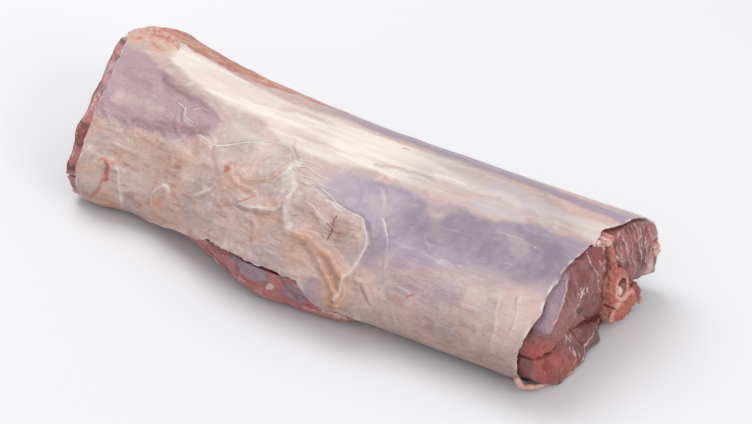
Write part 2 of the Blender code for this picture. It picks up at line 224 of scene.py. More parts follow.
def keepPlain(mesh, names, values):
    for name in names:
        keepMask(mesh, name, np.full(len(mesh.vertices), values.get(name, 0.0)))


def addPiece(name, mesh, material, stands=()):
    piece = bpy.data.objects.new(name, mesh)
    bpy.context.scene.collection.objects.link(piece)
    mesh.materials.clear()
    mesh.materials.append(material)
    mesh.shade_smooth()
    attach(piece, "root")
    if stands:
        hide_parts(*stands)
    return piece


# Materials

lightLevel = 1.3  # how much the studio light lifts a surface that faces up


def tint(red, green, blue):
    # the base colour of a surface that is to look like this in the studio light
    return tuple(((c / 255 + 0.055) / 1.055) ** 2.4 / lightLevel for c in (red, green, blue)) + (1.0,)


class Surface:
    # a material whose colour is laid on in coats, each over the ones before it

    def __init__(self, name, look, finish):
        self.material = bpy.data.materials.new(name)
        self.material.use_nodes = True
        self.tree = self.material.node_tree
        self.shader = self.tree.nodes["Principled BSDF"]
        for socket, value in finish.items():
            self.shader.inputs[socket].default_value = value
        self.look = {key: tint(*value) for key, value in look.items()}
        self.coords = self.node("ShaderNodeTexCoord").outputs["Object"]

    def node(self, kind, sockets=None, **settings):
        made = self.tree.nodes.new(kind)
        for key, value in settings.items():
            setattr(made, key, value)
        for key, value in (sockets or {}).items():
            if isinstance(value, bpy.types.NodeSocket):
                self.tree.links.new(value, made.inputs[key])
            else:
                made.inputs[key].default_value = value
        return made

    def times(self, first, second):
        return self.node("ShaderNodeMath", {0: first, 1: second}, operation="MULTIPLY").outputs[0]

    def plus(self, first, second):
        return self.node("ShaderNodeMath", {0: first, 1: second}, operation="ADD").outputs[0]

    def spread(self, value, low, high, lowOut=0.0, highOut=1.0):
        sockets = {0: value, 1: low, 2: high, 3: lowOut, 4: highOut}
        return self.node("ShaderNodeMapRange", sockets, interpolation_type="SMOOTHSTEP").outputs[0]

    def mask(self, name):
        return self.node("ShaderNodeAttribute", attribute_name=name).outputs["Fac"]

    def stretched(self, scale, turn=(0.0, 0.0, 0.0)):
        sockets = {"Vector": self.coords, "Scale": scale, "Rotation": turn}
        return self.node("ShaderNodeMapping", sockets).outputs[0]

    def noise(self, scale, detail=3.0, roughness=0.6, distortion=0.0, vector=None):
        sockets = {"Scale": scale, "Detail": detail, "Roughness": roughness, "Distortion": distortion}
        sockets["Vector"] = vector or self.coords
        return self.node("ShaderNodeTexNoise", sockets).outputs["Fac"]

    def mixed(self, factor, first, second):
        first, second = (self.look[tone] if isinstance(tone, str) else tone for tone in (first, second))
        return self.node("ShaderNodeMix", {0: factor, 6: first, 7: second}, data_type="RGBA").outputs[2]

    def coat(self, factor, tone):
        self.colour = self.mixed(factor, self.colour, tone)

    def haze(self, source, low, high, strength, tone):
        # a coat where this noise is strong
        self.coat(self.times(self.spread(source, low, high), strength), tone)

    def paint(self, name, breakup, fray, low, high, strength=1.0, tone=None):
        # a coat on a painted mask, whose border is frayed by noise
        uneven = self.node("ShaderNodeMath", {0: breakup, 1: 0.5}, operation="SUBTRACT").outputs[0]
        covered = self.spread(self.plus(self.mask(name), self.times(uneven, fray)), low, high)
        self.coat(self.times(covered, strength) if strength < 1.0 else covered, tone or name)

    def finished(self, roughness, layers):
        # layers are (height, distance in metres), the coarsest first
        normal = None
        for height, distance in layers:
            sockets = {"Height": height, "Distance": distance, "Strength": 1.0}
            if normal is not None:
                sockets["Normal"] = normal
            normal = self.node("ShaderNodeBump", sockets).outputs["Normal"]
        for name, value in (("Base Color", self.colour), ("Roughness", roughness), ("Normal", normal)):
            self.tree.links.new(value, self.shader.inputs[name])
        return self.material


membraneLook = {
    "tissue": (212, 180, 170),
    "tissuePale": (223, 201, 193),
    "tissueGrey": (184, 164, 160),
    "tan": (177, 131, 115),
    "cream": (234, 217, 209),
    "ivory": (250, 238, 227),
    "creamGrey": (200, 187, 191),
    "lilac": (163, 143, 162),
    "lilacDeep": (128, 109, 130),
    "lilacPale": (193, 177, 188),
    "mauve": (171, 136, 143),
    "mauveDeep": (150, 110, 118),
    "amber": (216, 170, 148),
    "amberDeep": (200, 138, 114),
    "blood": (188, 76, 64),
    "bare": (192, 120, 106),
    "white": (242, 232, 228),
    "shade": (142, 110, 106),
}


def makeMembraneMaterial():
    skin = Surface("wet membrane", membraneLook, {
        "Roughness": 0.42, "Specular IOR Level": 0.5, "Coat Weight": 0.12, "Coat Roughness": 0.3,
        "Subsurface Weight": 0.12, "Subsurface Radius": (1.0, 0.45, 0.35), "Subsurface Scale": 0.003,
    })
    cloud, mottle, speck = skin.noise(38.0, 4.0), skin.noise(150.0, 4.0), skin.noise(700.0)
    fibres = skin.noise(300.0, 4.0, 0.6, 0.4, skin.stretched((0.22, 1.0, 1.0), (0.0, 0.0, 0.06)))
    streaks = skin.noise(150.0, 3.0, 0.5, 0.3, skin.stretched((0.09, 1.0, 1.0), (0.0, 0.0, -0.03)))
    wrinkles = skin.noise(170.0, 4.0, 0.6, 0.8, skin.stretched((0.3, 1.0, 1.0), (0.0, 0.0, 0.1)))
    crumpled, deep = skin.mask("crumpled"), skin.mask("deep")

    skin.colour = skin.mixed(skin.spread(cloud, 0.36, 0.64), "tissue", "tissueGrey")
    skin.coat(skin.times(skin.spread(wrinkles, 0.5, 0.66), skin.plus(crumpled, 0.25)), "tan")
    skin.haze(mottle, 0.48, 0.7, 0.65, "tissuePale")
    amber = skin.mixed(skin.spread(fibres, 0.4, 0.7), "amber", "amberDeep")
    lilac = skin.mixed(skin.spread(deep, 0.0, 1.0), "lilac", "lilacDeep")
    lilac = skin.mixed(skin.times(skin.spread(cloud, 0.46, 0.72), 0.4), lilac, "lilacPale")
    lilac = skin.mixed(skin.times(skin.spread(fibres, 0.54, 0.8), 0.25), lilac, "lilacPale")
    mauve = skin.mixed(skin.spread(deep, 0.1, 0.9), "mauve", "mauveDeep")
    mauve = skin.mixed(skin.times(skin.spread(mottle, 0.5, 0.75), 0.4), mauve, "lilacPale")
    cream = skin.mixed(skin.spread(streaks, 0.4, 0.64), "cream", "ivory")
    cream = skin.mixed(skin.mask("faded"), cream, "creamGrey")
    bare = skin.mixed(skin.spread(fibres, 0.42, 0.68), "bare", "amber")
    skin.paint("amber", mottle, 0.5, 0.2, 0.95, 0.85, amber)
    skin.paint("lilac", cloud, 0.3, 0.08, 0.95, 0.96, lilac)
    skin.paint("mauve", mottle, 0.3, 0.1, 0.9, 0.94, mauve)
    skin.paint("cream", streaks, 0.5, 0.12, 0.92, 0.95, cream)
    skin.paint("bare", fibres, 0.6, 0.3, 0.7, 1.0, bare)
    skin.paint("white", fibres, 0.4, 0.15, 0.95, 0.8)
    skin.paint("shade", speck, 0.3, 0.15, 1.0, 0.65)
    skin.paint("blood", mottle, 0.5, 0.2, 0.9, 0.85)
    threads = skin.times(skin.spread(fibres, 0.6, 0.7), skin.spread(cloud, 0.45, 0.6))
    skin.coat(skin.times(threads, 0.22), "white")
    fineShare = skin.plus(skin.times(crumpled, 0.3), 0.06)
    skin.coat(skin.times(skin.spread(speck, 0.52, 0.7), fineShare), "shade")

    coarse = skin.times(wrinkles, skin.plus(crumpled, 0.12))
    grainy = skin.times(mottle, skin.plus(crumpled, 0.2))
    return skin.finished(skin.plus(skin.spread(mottle, 0.3, 0.75, 0.3, 0.52), skin.times(speck, 0.06)), (
        (cloud, 0.0006), (coarse, 0.0019), (streaks, 0.0003), (grainy, 0.0012), (fibres, 0.00022),
        (speck, 0.0001),
    ))


meatLook = {
    "lean": (134, 58, 52),
    "leanDark": (106, 52, 50),
    "leanPale": (178, 104, 96),
    "bright": (180, 70, 64),
    "rose": (204, 127, 124),
    "tan": (160, 95, 85),
    "grey": (134, 86, 84),
    "fat": (232, 198, 188),
    "film": (172, 146, 160),
    "dark": (84, 42, 42),
}


meatMasks = ("fat", "bright", "rose", "tan", "grey", "dark", "film")


def makeMeatMaterial():
    meat = Surface("cut meat", meatLook, {
        "Roughness": 0.3, "Specular IOR Level": 0.5, "Coat Weight": 0.4, "Coat Roughness": 0.15,
        "Subsurface Weight": 0.1, "Subsurface Radius": (1.0, 0.3, 0.2), "Subsurface Scale": 0.0025,
    })
    cloud, mottle, speck = meat.noise(90.0, 4.0), meat.noise(320.0, 4.0, 0.62), meat.noise(1000.0)
    strands = meat.noise(520.0, 4.0, 0.6, 0.5, meat.stretched((0.12, 1.0, 1.0)))
    upright = meat.noise(340.0, 4.0, 0.6, 0.5, meat.stretched((1.0, 1.0, 0.16), (0.35, 0.0, 0.0)))
    bands = meat.noise(150.0, 3.0, 0.55, 0.6, meat.stretched((0.6, 1.0, 0.2), (0.3, 0.0, 0.0)))

    meat.colour = meat.mixed(meat.spread(cloud, 0.36, 0.66), "leanDark", "lean")
    meat.haze(bands, 0.48, 0.7, 0.55, "leanPale")
    meat.haze(mottle, 0.45, 0.75, 0.5, "leanPale")
    meat.haze(strands, 0.52, 0.8, 0.35, "leanPale")
    meat.haze(upright, 0.48, 0.34, 0.6, "leanDark")
    meat.paint("tan", mottle, 0.6, 0.15, 0.95, 0.7)
    meat.paint("grey", mottle, 0.5, 0.2, 0.9, 0.7)
    meat.paint("rose", bands, 0.6, 0.15, 0.95, 0.75)
    meat.paint("bright", mottle, 0.6, 0.15, 0.95, 0.8)
    meat.paint("film", mottle, 0.3, 0.2, 0.8, 0.85)
    meat.paint("dark", speck, 0.3, 0.15, 0.95, 0.8)
    marbling = meat.times(meat.spread(upright, 0.64, 0.72), meat.spread(cloud, 0.48, 0.6))
    meat.coat(meat.times(marbling, 0.5), "fat")
    meat.paint("fat", speck, 0.7, 0.25, 0.85, 0.85)
    return meat.finished(meat.spread(mottle, 0.3, 0.75, 0.22, 0.48), (
        (cloud, 0.001), (bands, 0.0008), (mottle, 0.0008), (strands, 0.0004), (upright, 0.0006),
        (speck, 0.0003),
    ))


boneLook = {
    "sponge": (202, 97, 78),
    "spongeDeep": (176, 82, 68),
    "spongePale": (222, 148, 126),
    "rim": (232, 182, 168),
    "poreAndShade": (110, 46, 40),
}


def makeBoneMaterial():
    bone = Surface("cut bone", boneLook, {
        "Roughness": 0.5, "Specular IOR Level": 0.5, "Coat Weight": 0.15, "Coat Roughness": 0.3,
        "Subsurface Weight": 0.08, "Subsurface Radius": (1.0, 0.35, 0.25), "Subsurface Scale": 0.002,
    })
    cloud, speck = bone.noise(160.0, 4.0), bone.noise(1300.0)
    cellSockets = {"Vector": bone.stretched((0.4, 1.0, 1.0)), "Scale": 820.0}
    cells = bone.node("ShaderNodeTexVoronoi", cellSockets, feature="DISTANCE_TO_EDGE").outputs["Distance"]
    pores = bone.node("ShaderNodeTexVoronoi", {"Vector": bone.coords, "Scale": 520.0}).outputs["Distance"]
    pits = bone.times(bone.spread(pores, 0.3, 0.12), bone.spread(speck, 0.4, 0.6))
    bone.colour = bone.mixed(bone.spread(cloud, 0.36, 0.66), "spongeDeep", "sponge")
    bone.haze(cells, 0.14, 0.02, 0.7, "spongePale")
    bone.coat(bone.times(pits, 0.8), "poreAndShade")
    bone.paint("rim", speck, 0.5, 0.25, 0.8, 0.88)
    # painted shade inside the spinal canal, laid on in the pore colour
    bone.paint("dark", speck, 0.4, 0.2, 0.9, 0.85, "poreAndShade")
    return bone.finished(bone.spread(cloud, 0.3, 0.75, 0.34, 0.62), (
        (cloud, 0.0008), (cells, 0.0006), (pits, -0.0006), (speck, 0.0003),
    ))


fatLook = {
    "fat": (234, 208, 196),
    "fatPink": (214, 160, 150),
    "fatWhite": (246, 234, 226),
    "pink": (190, 96, 84),
}


def makeFatMaterial():
    fat = Surface("soft fat", fatLook, {
        "Roughness": 0.42, "Specular IOR Level": 0.5, "Coat Weight": 0.15, "Coat Roughness": 0.28,
        "Subsurface Weight": 0.2, "Subsurface Radius": (1.0, 0.5, 0.35), "Subsurface Scale": 0.003,
    })
    cloud, speck = fat.noise(180.0, 4.0), fat.noise(900.0)
    fat.colour = fat.mixed(fat.spread(cloud, 0.38, 0.62), "fat", "fatPink")
    fat.haze(speck, 0.45, 0.7, 0.6, "fatWhite")
    fat.paint("pink", speck, 0.5, 0.2, 0.9, 0.9)
    return fat.finished(fat.spread(cloud, 0.3, 0.75, 0.3, 0.55), ((cloud, 0.001), (speck, 0.0004)))


membraneMaterial = makeMembraneMaterial()
meatMaterial = makeMeatMaterial()
boneMaterial = makeBoneMaterial()
fatMaterial = makeFatMaterial()
print("materials made")


# The membrane over the back

membrane = {
    "columns": 390,
    "nearRows": 158,  # rows on the side that faces the camera
    "farRows": 50,
    "thick": 1.2,
    "farX": -173.0,  # its edge at the far end, on the ridge
    "cutX": 158.0,  # its edge at the open cut
}


def membraneLeftEdge(x):
    places = (-118.0, -104.0, -90.0, -76.0, -56.0, -40.0, -20.0, 9.0, 22.0, 30.0, 36.0, 48.0, 62.0, 88.0)
    edges = (-1.58, -1.5, -1.32, -1.16, -1.0, -0.9, -0.89, -0.9, -0.92, -1.04, -1.2, -1.24, -1.4, -1.58)
    return np.interp(x, places, edges) - 0.2 * smooth(128.0, 152.0, x)


def membraneRightEdge(x):
    return 1.55 - 0.6 * smooth(100.0, 152.0, x)


def farCutX(y):
    away, farX = 45.0 - y, membrane["farX"]
    return np.where(away < 0.0, farX - 0.6 * away, farX + 0.52 * away - 0.0023 * away**2)


def nearCutX(v):
    # drawn back along the near side, where it has come away from the meat
    places = (-1.6, -1.4, -1.2, -1.0, -0.8, -0.7, -0.6, -0.5, -0.4, -0.3, -0.2, -0.1)
    edges = (151.0, 151.0, 151.5, 152.0, 152.5, 154.0, 156.0, 154.0, 154.5, 154.5, 156.5, 158.0)
    return np.interp(v, places, edges) + 5.6 * smooth(0.0, 0.25, v) + 4.4 * smooth(0.3, 0.8, v)


def membraneSpots(share, w):
    # x and v of the spots of the sheet: share runs along it, w from its near low edge over to the far one
    nominal = membrane["farX"] + 12.0 + share * (membrane["cutX"] - membrane["farX"] - 18.0)
    low = membraneLeftEdge(nominal)
    lowY, _ = outlinePoint(nominal, low)
    low = membraneLeftEdge(farCutX(lowY) + share * (nearCutX(low) - farCutX(lowY)))
    v = low + (membraneRightEdge(nominal) - low) * w
    y, _ = outlinePoint(nominal, v)
    return farCutX(y) + share * (nearCutX(v) - farCutX(y)), v


# Raised folds and rolls, as points at x and at a distance round the back from the ridge
lobeRim = ((-13, -36), (-4, -47), (7, -46), (14, -48), (23, -50), (32, -52), (42, -53), (46, -56), (51, -62),
           (53, -67), (53, -75), (51, -84), (47, -94))
fatRoll = ((12, -74), (18, -74), (24, -75), (32, -77), (39, -79), (45, -82), (50, -85), (51, -92), (48, -100))
secondRoll = ((22, -78), (29, -80), (34, -83), (40, -87), (44, -90), (47, -95), (43, -101))
groove = ((19, -77), (27, -78.5), (34, -80.5), (39, -83), (44, -87), (48, -91))
foldTop = ((-78, -41), (-70, -43), (-63, -44), (-56, -40), (-48, -35), (-41, -31), (-34, -28), (-26, -28),
           (-21, -28), (-15, -31))
upperWrinkle = ((-105, -29), (-98, -30), (-95, -34), (-86, -36))
upperCrease = ((-94, -28), (-89, -25), (-83, -24))
longCrease = ((-95, -35), (-85, -37), (-72, -38), (-64, -43))
lobeHollow = ((8, -56), (14, -57), (20, -60), (27, -63))
lobeStem = ((-6, -42), (-2, -51), (-2, -57), (0, -64), (5, -70), (9, -74))
lobeTail = ((52, -47), (57, -53), (60, -57))
lilacCrease = ((38, -29), (44, -34), (48, -39))
lowVein = ((-88, -60), (-86, -65), (-84, -71), (-80, -75))
lowHook = ((-21, -75), (-15, -75), (-11, -79), (-10, -84), (-7, -88))
lowCrease = ((-61, -74), (-54, -70), (-50, -67))
besideRolls = ((59, -86), (62, -89), (65, -93))
ridgeWrinkle = ((-162, -15), (-156, -11), (-147, -7))
cornerFold = ((-125, -80), (-119, -81), (-116, -85), (-114, -97))
cornerGroove = ((-140, -111), (-132, -101), (-125, -92))
cornerVein = ((-124, -90), (-128, -97), (-132, -103), (-138, -110))
fans = (
    ((-14, -32), (-7, -30), (-3, -30), (4, -31)),
    ((-11, -37), (-6, -34), (1, -36), (10, -37)),
    ((-12, -38), (-6, -40.5), (3, -40), (10, -42), (20, -41)),
    ((-4, -44), (4, -45), (10, -47), (16, -47)),
    ((10, -44), (16, -45.5), (24, -49)),
)
folds = (
    # path, height, steep reach, gentle reach
    (foldTop, 1.7, 1.8, 9.0),
    (((-54, -55), (-59, -50), (-63, -44)), 1.1, 1.8, 6.0),
    (lobeRim, 2.8, 2.4, 28.0),
    (((-28, -70), (-22, -70.5), (-16, -69.5), (-8, -67), (-4, -64)), 1.8, 7.0, 1.6),
    (lobeHollow, 1.2, 2.0, 7.0),
    (((-4, -60), (1, -66), (8, -75), (12, -80)), 1.2, 2.2, 7.0),
    (((-91, -92), (-91, -82), (-89, -79), (-85, -76), (-80, -78), (-77, -80)), 1.9, 2.0, 9.0),
    (cornerFold, 1.6, 2.2, 9.0),
    (((-146, -84), (-140, -82), (-134, -82), (-125, -80)), 1.3, 3.0, 7.0),
    (((-122, -19.5), (-101, -20), (-82, -21), (-72, -26)), 0.9, 5.0, 3.0),
    (((-160, 14), (-152, 13), (-145, 13), (-139, 9)), 1.6, 2.0, 6.0),
)
ridges = (
    # path, height, reach
    (fatRoll, 3.8, 5.0),
    (secondRoll, 2.6, 3.4),
    (groove, -0.9, 1.8),
    (lobeStem, 1.1, 5.0),
    (((-31, -56), (-24, -54), (-19, -49), (-15, -42), (-13, -38)), 1.0, 2.2),
    (((-46, -55), (-40, -58), (-35, -60), (-29, -61)), 0.9, 2.2),
    (((-40, -53), (-34, -55.5), (-28, -55), (-22, -51)), 0.6, 1.8),
    (((-30, -41), (-25, -37), (-17, -34)), 0.6, 1.8),
    (((52, -47), (57, -53), (60, -57), (65, -66), (69, -75), (76, -78), (87, -80)), 0.5, 1.6),
    (lilacCrease, 0.4, 3.0),
    (((19, -28), (29, -36), (33, -41)), 0.3, 3.0),
    (upperWrinkle, 0.6, 1.6),
    (upperCrease, 0.6, 1.6),
    (longCrease, 0.6, 1.6),
    (((-101, -38), (-94, -44), (-83, -48)), 0.4, 1.6),
    (lowVein, 0.6, 2.2),
    (((-79, -58), (-69, -56), (-60, -51)), 0.5, 2.0),
    (((-75, -68), (-62, -67), (-48, -71), (-35, -77)), 0.6, 2.2),
    (lowHook, 0.8, 2.0),
    (((-24, -76), (-20, -84), (-22, -93)), 0.6, 2.0),
    (((-66, -78), (-57, -85), (-53, -93)), 0.5, 2.0),
    (lowCrease, 0.5, 1.8),
    (((50, -84), (55, -84), (61, -86), (66, -91)), 1.2, 2.4),
    (besideRolls, -1.2, 1.8),
    (((132, -63), (136, -74), (137, -88), (133, -98)), 0.9, 3.0),
    (((142, -57), (145, -68), (146, -80), (142, -94)), 0.9, 2.6),
    (((126, -66), (127, -78), (125, -92)), 0.7, 3.0),
    (((110, -68), (113, -80), (112, -94)), 0.6, 3.0),
    (((80, -84), (78, -92), (82, -100)), 0.6, 2.6),
    (ridgeWrinkle, 0.6, 2.0),
    (((-164, -7), (-158, -2), (-148, 0)), 0.6, 2.2),
    (((-143, -112), (-146, -97), (-142, -83)), 0.9, 2.2),
    (cornerGroove, -1.1, 1.8),
    (((-138, -106), (-131, -97), (-126, -90)), -0.7, 1.6),
)
swellings = (
    # x, distance round, reach, height
    (-132.0, -97.0, 15.0, 2.4),
    (35.0, -97.0, 11.0, 3.4),
    (-1.0, -91.0, 12.0, 1.6),
    (-84.0, -89.0, 8.0, 1.4),
    (34.0, -64.0, 18.0, 1.0),
    (-36.0, -45.0, 16.0, 0.9),
    (-48.0, -52.5, 4.5, 1.0),
    (60.0, -92.0, 14.0, 1.0),
    (-104.0, 0.0, 34.0, 0.9),
    (119.0, -9.0, 7.0, 0.8),
    (-149.0, 6.0, 10.0, 1.8),
    (98.0, -3.0, 12.0, 0.8),
)


def membraneRelief(x, s):
    warpX = roughened(x, x, s, (1.6, 9.0, 1.0))
    warpS = roughened(s, x, s, (1.6, 9.0, 2.0))
    height = np.zeros(len(x))
    for path, rise, steep, gentle in folds:
        height += rise * fold(warpX, warpS, path, steep, gentle)
    for path, rise, reach in ridges:
        height += rise * line(warpX, warpS, path, reach)
    for middleX, middleS, reach, rise in swellings:
        height += rise * (1.0 - smooth(0.0, reach, np.hypot(x - middleX, s - middleS)))
    wrinkled = smooth(-36.0, -58.0, s) * smooth(76.0, 44.0, x)
    streaked = smooth(-50.0, -72.0, s) * smooth(60.0, 96.0, x)
    height += wrinkled * (0.8 + 0.9 * grain(x, s, 15.0, 3.0) + 0.42 * creases(warpX, warpS, 7.0, 4.0, 1.6))
    height += wrinkled * 0.22 * creases(warpX, warpS, 3.4, 5.0, 1.3)
    height += streaked * (0.5 * grain(s, x, 7.0, 6.0, 3.5) + 0.2 * creases(s, x, 5.0, 7.0, 3.0))
    height += 0.35 * grain(x, s, 22.0, 8.0) + 0.12 * grain(x, s, 5.0, 9.0, 2.0)
    bandStreaks = smooth(-26.0, -14.0, s) * smooth(64.0, 30.0, s)
    height += bandStreaks * 0.3 * grain(x, s, 3.6, 10.0, 9.0)
    crack = line(warpX, warpS, ((-164, 9), (-157, 8), (-152, 8), (-145, 8)), 2.6)
    height += crack * (0.9 * grain(x, s, 2.2, 11.0) - 1.5)
    height -= 0.9 * line(warpX, warpS, ((-159, -1), (-154, 0), (-149, 1), (-142, 0)), 1.8)
    tornFar = patch(warpX, warpS, (
        (-164, 17), (-145, 13), (-117, 13), (-92, 12), (-66, 14), (-75, 24), (-105, 36), (-135, 42),
        (-166, 44),
    ), 3.0)
    height += tornFar * (0.8 * grain(x, s, 3.2, 12.0, 1.5) + 0.5 * grain(x, s, 1.6, 13.0) - 1.0)
    return height


# strokes of colour: path, strength, reach
strokes = {
    "deep": (
        (((34, -27), (62, -26), (84, -22)), 0.5, 4.0),
        (((-126, -18), (-117, -22), (-104, -21), (-84, -23)), 1.0, 6.0),
        (((-121, -52), (-112, -50), (-103, -45), (-92, -42), (-78, -36)), 1.1, 6.0),
        (((-136, -58), (-127, -55)), 0.8, 4.0),
        (((-148, -29), (-131, -29)), 0.5, 12.0),
    ),
    "cream": (
        (((-60, -26), (-40, -30), (-18, -38), (0, -52)), 0.45, 12.0),
    ),
    "amber": (
        (fatRoll, 1.0, 5.5),
        (secondRoll, 1.0, 4.0),
        (groove, 0.9, 3.0),
        (((-143, -86), (-135, -90), (-130, -82), (-123, -79)), 1.0, 4.6),
        (cornerVein, 1.0, 4.0),
        (((-5, -66), (1, -70), (6, -75), (11, -79)), 0.7, 3.4),
        (((-133, -88), (-132, -81), (-126, -79), (-121, -78)), 0.9, 3.2),
        (lowVein, 0.7, 2.6),
        (((-31, -56), (-24, -54), (-19, -49), (-14, -40)), 0.85, 2.2),
        (((-46, -55), (-40, -58), (-35, -60), (-28, -61)), 0.85, 2.2),
        (((-40, -53), (-34, -55.5), (-27, -55)), 0.6, 1.8),
        (((-26, -78), (-40, -80), (-60, -80)), 0.5, 5.0),
        (((34, 12), (58, 13), (81, 13), (103, 11)), 0.35, 2.6),
        (((103, 11), (114, 8), (126, 6)), 0.6, 2.2),
        (((114, -9), (125, -9)), 0.5, 5.0),
        (ridgeWrinkle, 0.6, 2.2),
        (((-164, -7), (-158, -2)), 0.5, 2.2),
        (((-173, -1), (-168, 3)), 0.8, 3.0),
        (((-150, -60), (-148, -66), (-142, -68), (-137, -67)), 0.7, 3.6),
        (((-112, -67), (-109, -69)), 0.7, 2.6),
        (((8, 4), (30, 1), (34, 6)), 0.45, 3.0),
        (((-34, -5), (-10, -14)), 0.35, 5.0),
    ),
    "blood": (
        (((-48, -52), (-47, -53)), 1.0, 4.2),
        (((31, 6), (34, 6)), 0.9, 1.7),
        (((-128, -80), (-125, -83), (-125, -87), (-124, -91)), 0.85, 3.0),
        (cornerVein, 0.65, 2.4),
        (((-133, -84), (-130, -80), (-122, -79)), 0.6, 2.8),
        (((-90, -83), (-91, -90), (-93, -95)), 0.45, 2.2),
        (((-88, -60), (-86, -65), (-84, -71)), 0.3, 1.4),
        (((-82, -74), (-77, -73)), 0.8, 1.8),
        (((-80, -75), (-76, -80), (-69, -83)), 0.6, 1.3),
        (((-28, -69), (-26, -66), (-22, -63)), 0.9, 1.3),
        (((-31, -56), (-24, -54), (-19, -49)), 0.35, 1.2),
        (((-45, -55), (-40, -58)), 0.4, 1.4),
        (((115, -10), (123, -6)), 0.4, 2.6),
        (((119, -11), (123, -12)), 0.5, 2.0),
        (((84, -83), (88, -79)), 0.65, 1.6),
        (((-162, 11), (-157, 8), (-151, 8), (-145, 7)), 0.85, 1.5),
        (((-157, 4), (-148, 5), (-140, 3)), 0.3, 3.4),
        (((-172, 0), (-168, 2)), 0.4, 2.0),
        (((-164, 13), (-161, 18), (-155, 18), (-156, 14)), 0.55, 3.2),
        (((-162, -15), (-152, -10)), 0.25, 2.0),
    ),
    # pale strands and rims; along the fold rims and rolls the white is the pale membrane edge with painted
    # highlight along it
    "white": (
        (foldTop, 0.8, 1.8),
        (((-13, -32), (-10, -36), (-12, -40)), 0.9, 3.0),
        (lobeStem, 0.55, 4.5),
        (((-36, -33), (-24, -34), (-16, -34)), 0.35, 5.0),
        (lobeRim[2:], 0.65, 2.0),
        (fatRoll[1:], 0.45, 1.4),
        (((-28, -70), (-22, -70), (-8, -67), (-4, -64)), 0.85, 1.5),
        (((8, -56), (14, -57), (27, -63)), 0.5, 1.4),
        (lobeTail, 0.7, 1.5),
        (((60, -57), (65, -66), (69, -75), (76, -78), (86, -80)), 0.45, 2.2),
        (lilacCrease, 0.45, 3.4),
        (((56, -25), (61, -30)), 0.4, 2.6),
        (((78, -46), (84, -52)), 0.4, 2.4),
        (upperWrinkle, 0.6, 1.4),
        (upperCrease, 0.6, 1.4),
        (longCrease, 0.5, 1.4),
        (((-91, -92), (-91, -82), (-89, -79), (-85, -76), (-80, -78)), 0.7, 1.6),
        (cornerFold, 0.7, 1.6),
        (((60, -6), (69, -5), (78, -6)), 0.8, 2.6),
        (((25, -5), (34, -6.5)), 0.5, 4.5),
        (((96, -5), (112, -3), (126, -3)), 0.4, 3.0),
        # the ivory fat on the ridge, with a painted highlight on it
        (((-132, 2), (-123, 1), (-117, 2)), 0.7, 6.0),
        (lowHook, 0.45, 1.6),
        (lowCrease, 0.5, 2.2),
        (((-49, -77), (-51, -71)), 0.4, 1.8),
        (((142, -57), (145, -68), (146, -80)), 0.5, 2.0),
        (((132, -63), (136, -74), (137, -86)), 0.5, 2.0),
        # painted highlights: four tiny glints
        (((96.4, -30), (97.6, -30)), 0.9, 0.9),
        (((133.5, -27), (134.5, -27)), 0.9, 0.9),
        (((106.5, 25), (107.5, 25)), 0.8, 0.9),
        (((103, -54), (106, -56)), 0.7, 1.1),
        (((88, -54), (94, -58)), 0.3, 5.0),
        (((110, -64), (122, -66)), 0.3, 6.0),
    ),
    "shade": (
        (((-62, -42), (-55, -38.5), (-48, -33), (-40, -29.5)), 0.45, 1.6),
        (((-28, -72.5), (-18, -72), (-8, -69)), 0.55, 2.4),
        (groove, 0.25, 1.0),
        (((48, -91), (45, -97), (42, -101)), 0.45, 1.4),
        (cornerGroove, 0.5, 1.3),
        (besideRolls, 0.6, 1.8),
        (((88, -81), (92, -84), (98, -86)), 0.45, 2.6),
        (((96, -74), (104, -76), (112, -74)), 0.25, 4.0),
        (((-62, -64), (-53, -62), (-45, -64)), 0.3, 2.0),
        (((-78, -60), (-70, -58)), 0.3, 1.6),
        (((-30, -80), (-26, -82)), 0.3, 1.6),
        (((-159, -1.5), (-154, -0.5), (-149, 0.5), (-142, -0.5)), 0.5, 1.4),
        (((-164, 9), (-157, 8), (-152, 8)), 0.4, 1.0),
        (((97, -9), (99, -6), (98, -1)), 0.35, 1.3),
        (((110, 8), (120, 5)), 0.35, 2.0),
        (((48, 15), (58, 13), (69, 14)), 0.25, 2.0),
        (((-48.5, -52.5), (-47.5, -52.5)), 0.4, 1.6),
        (((8, -51), (20, -54), (30, -57)), 0.2, 3.0),
        (((56, -70), (57, -80), (54, -90)), 0.3, 2.6),
    ),
}

# areas of colour: outline, strength, feather
areas = {
    "cream": (
        (((114, -62), (150, -58), (152, -84), (120, -90)), 0.5, 10.0),
        (((64, -80), (92, -76), (120, -70), (128, -92), (96, -100), (66, -98)), 0.3, 8.0),
        (((-154, -80), (-132, -64), (-104, -58), (-92, -70), (-102, -96), (-140, -102)), 0.42, 7.0),
    ),
    "amber": (
        (((2, -54), (9, -48), (24, -53), (30, -60), (24, -66), (8, -64)), 0.3, 4.0),
        (((4, -80), (12, -77), (24, -79), (37, -87), (29, -90), (10, -92)), 0.55, 8.0),
        (((-122, -50), (-96, -54), (-72, -50), (-76, -64), (-100, -72), (-124, -66)), 0.6, 7.0),
        (((-141, -117), (-132, -107), (-126, -94), (-121, -91), (-117, -100), (-118, -114)), 0.95, 3.0),
        (((-92, -82), (-88, -81), (-80, -86), (-80, -97), (-93, -96)), 0.9, 3.0),
        (((-161, 12), (-157, 5), (-149, 1), (-142, 0), (-137, 3), (-141, 9), (-152, 13)), 0.85, 2.5),
    ),
    "shade": (
        (((-116, -52), (-92, -54), (-74, -56), (-80, -68), (-100, -72), (-116, -66)), 0.48, 7.0),
        (((2, -50), (24, -54), (42, -58), (48, -68), (46, -76), (24, -68), (6, -64)), 0.46, 4.0),
    ),
}


class Masks(dict):
    # painted masks by name, with a value from 0 to 1 at every point

    def add(self, name, values):
        self[name] = np.maximum(self.get(name, 0.0), values)

    def keep(self, mesh):
        for name, values in self.items():
            keepMask(mesh, name, values)


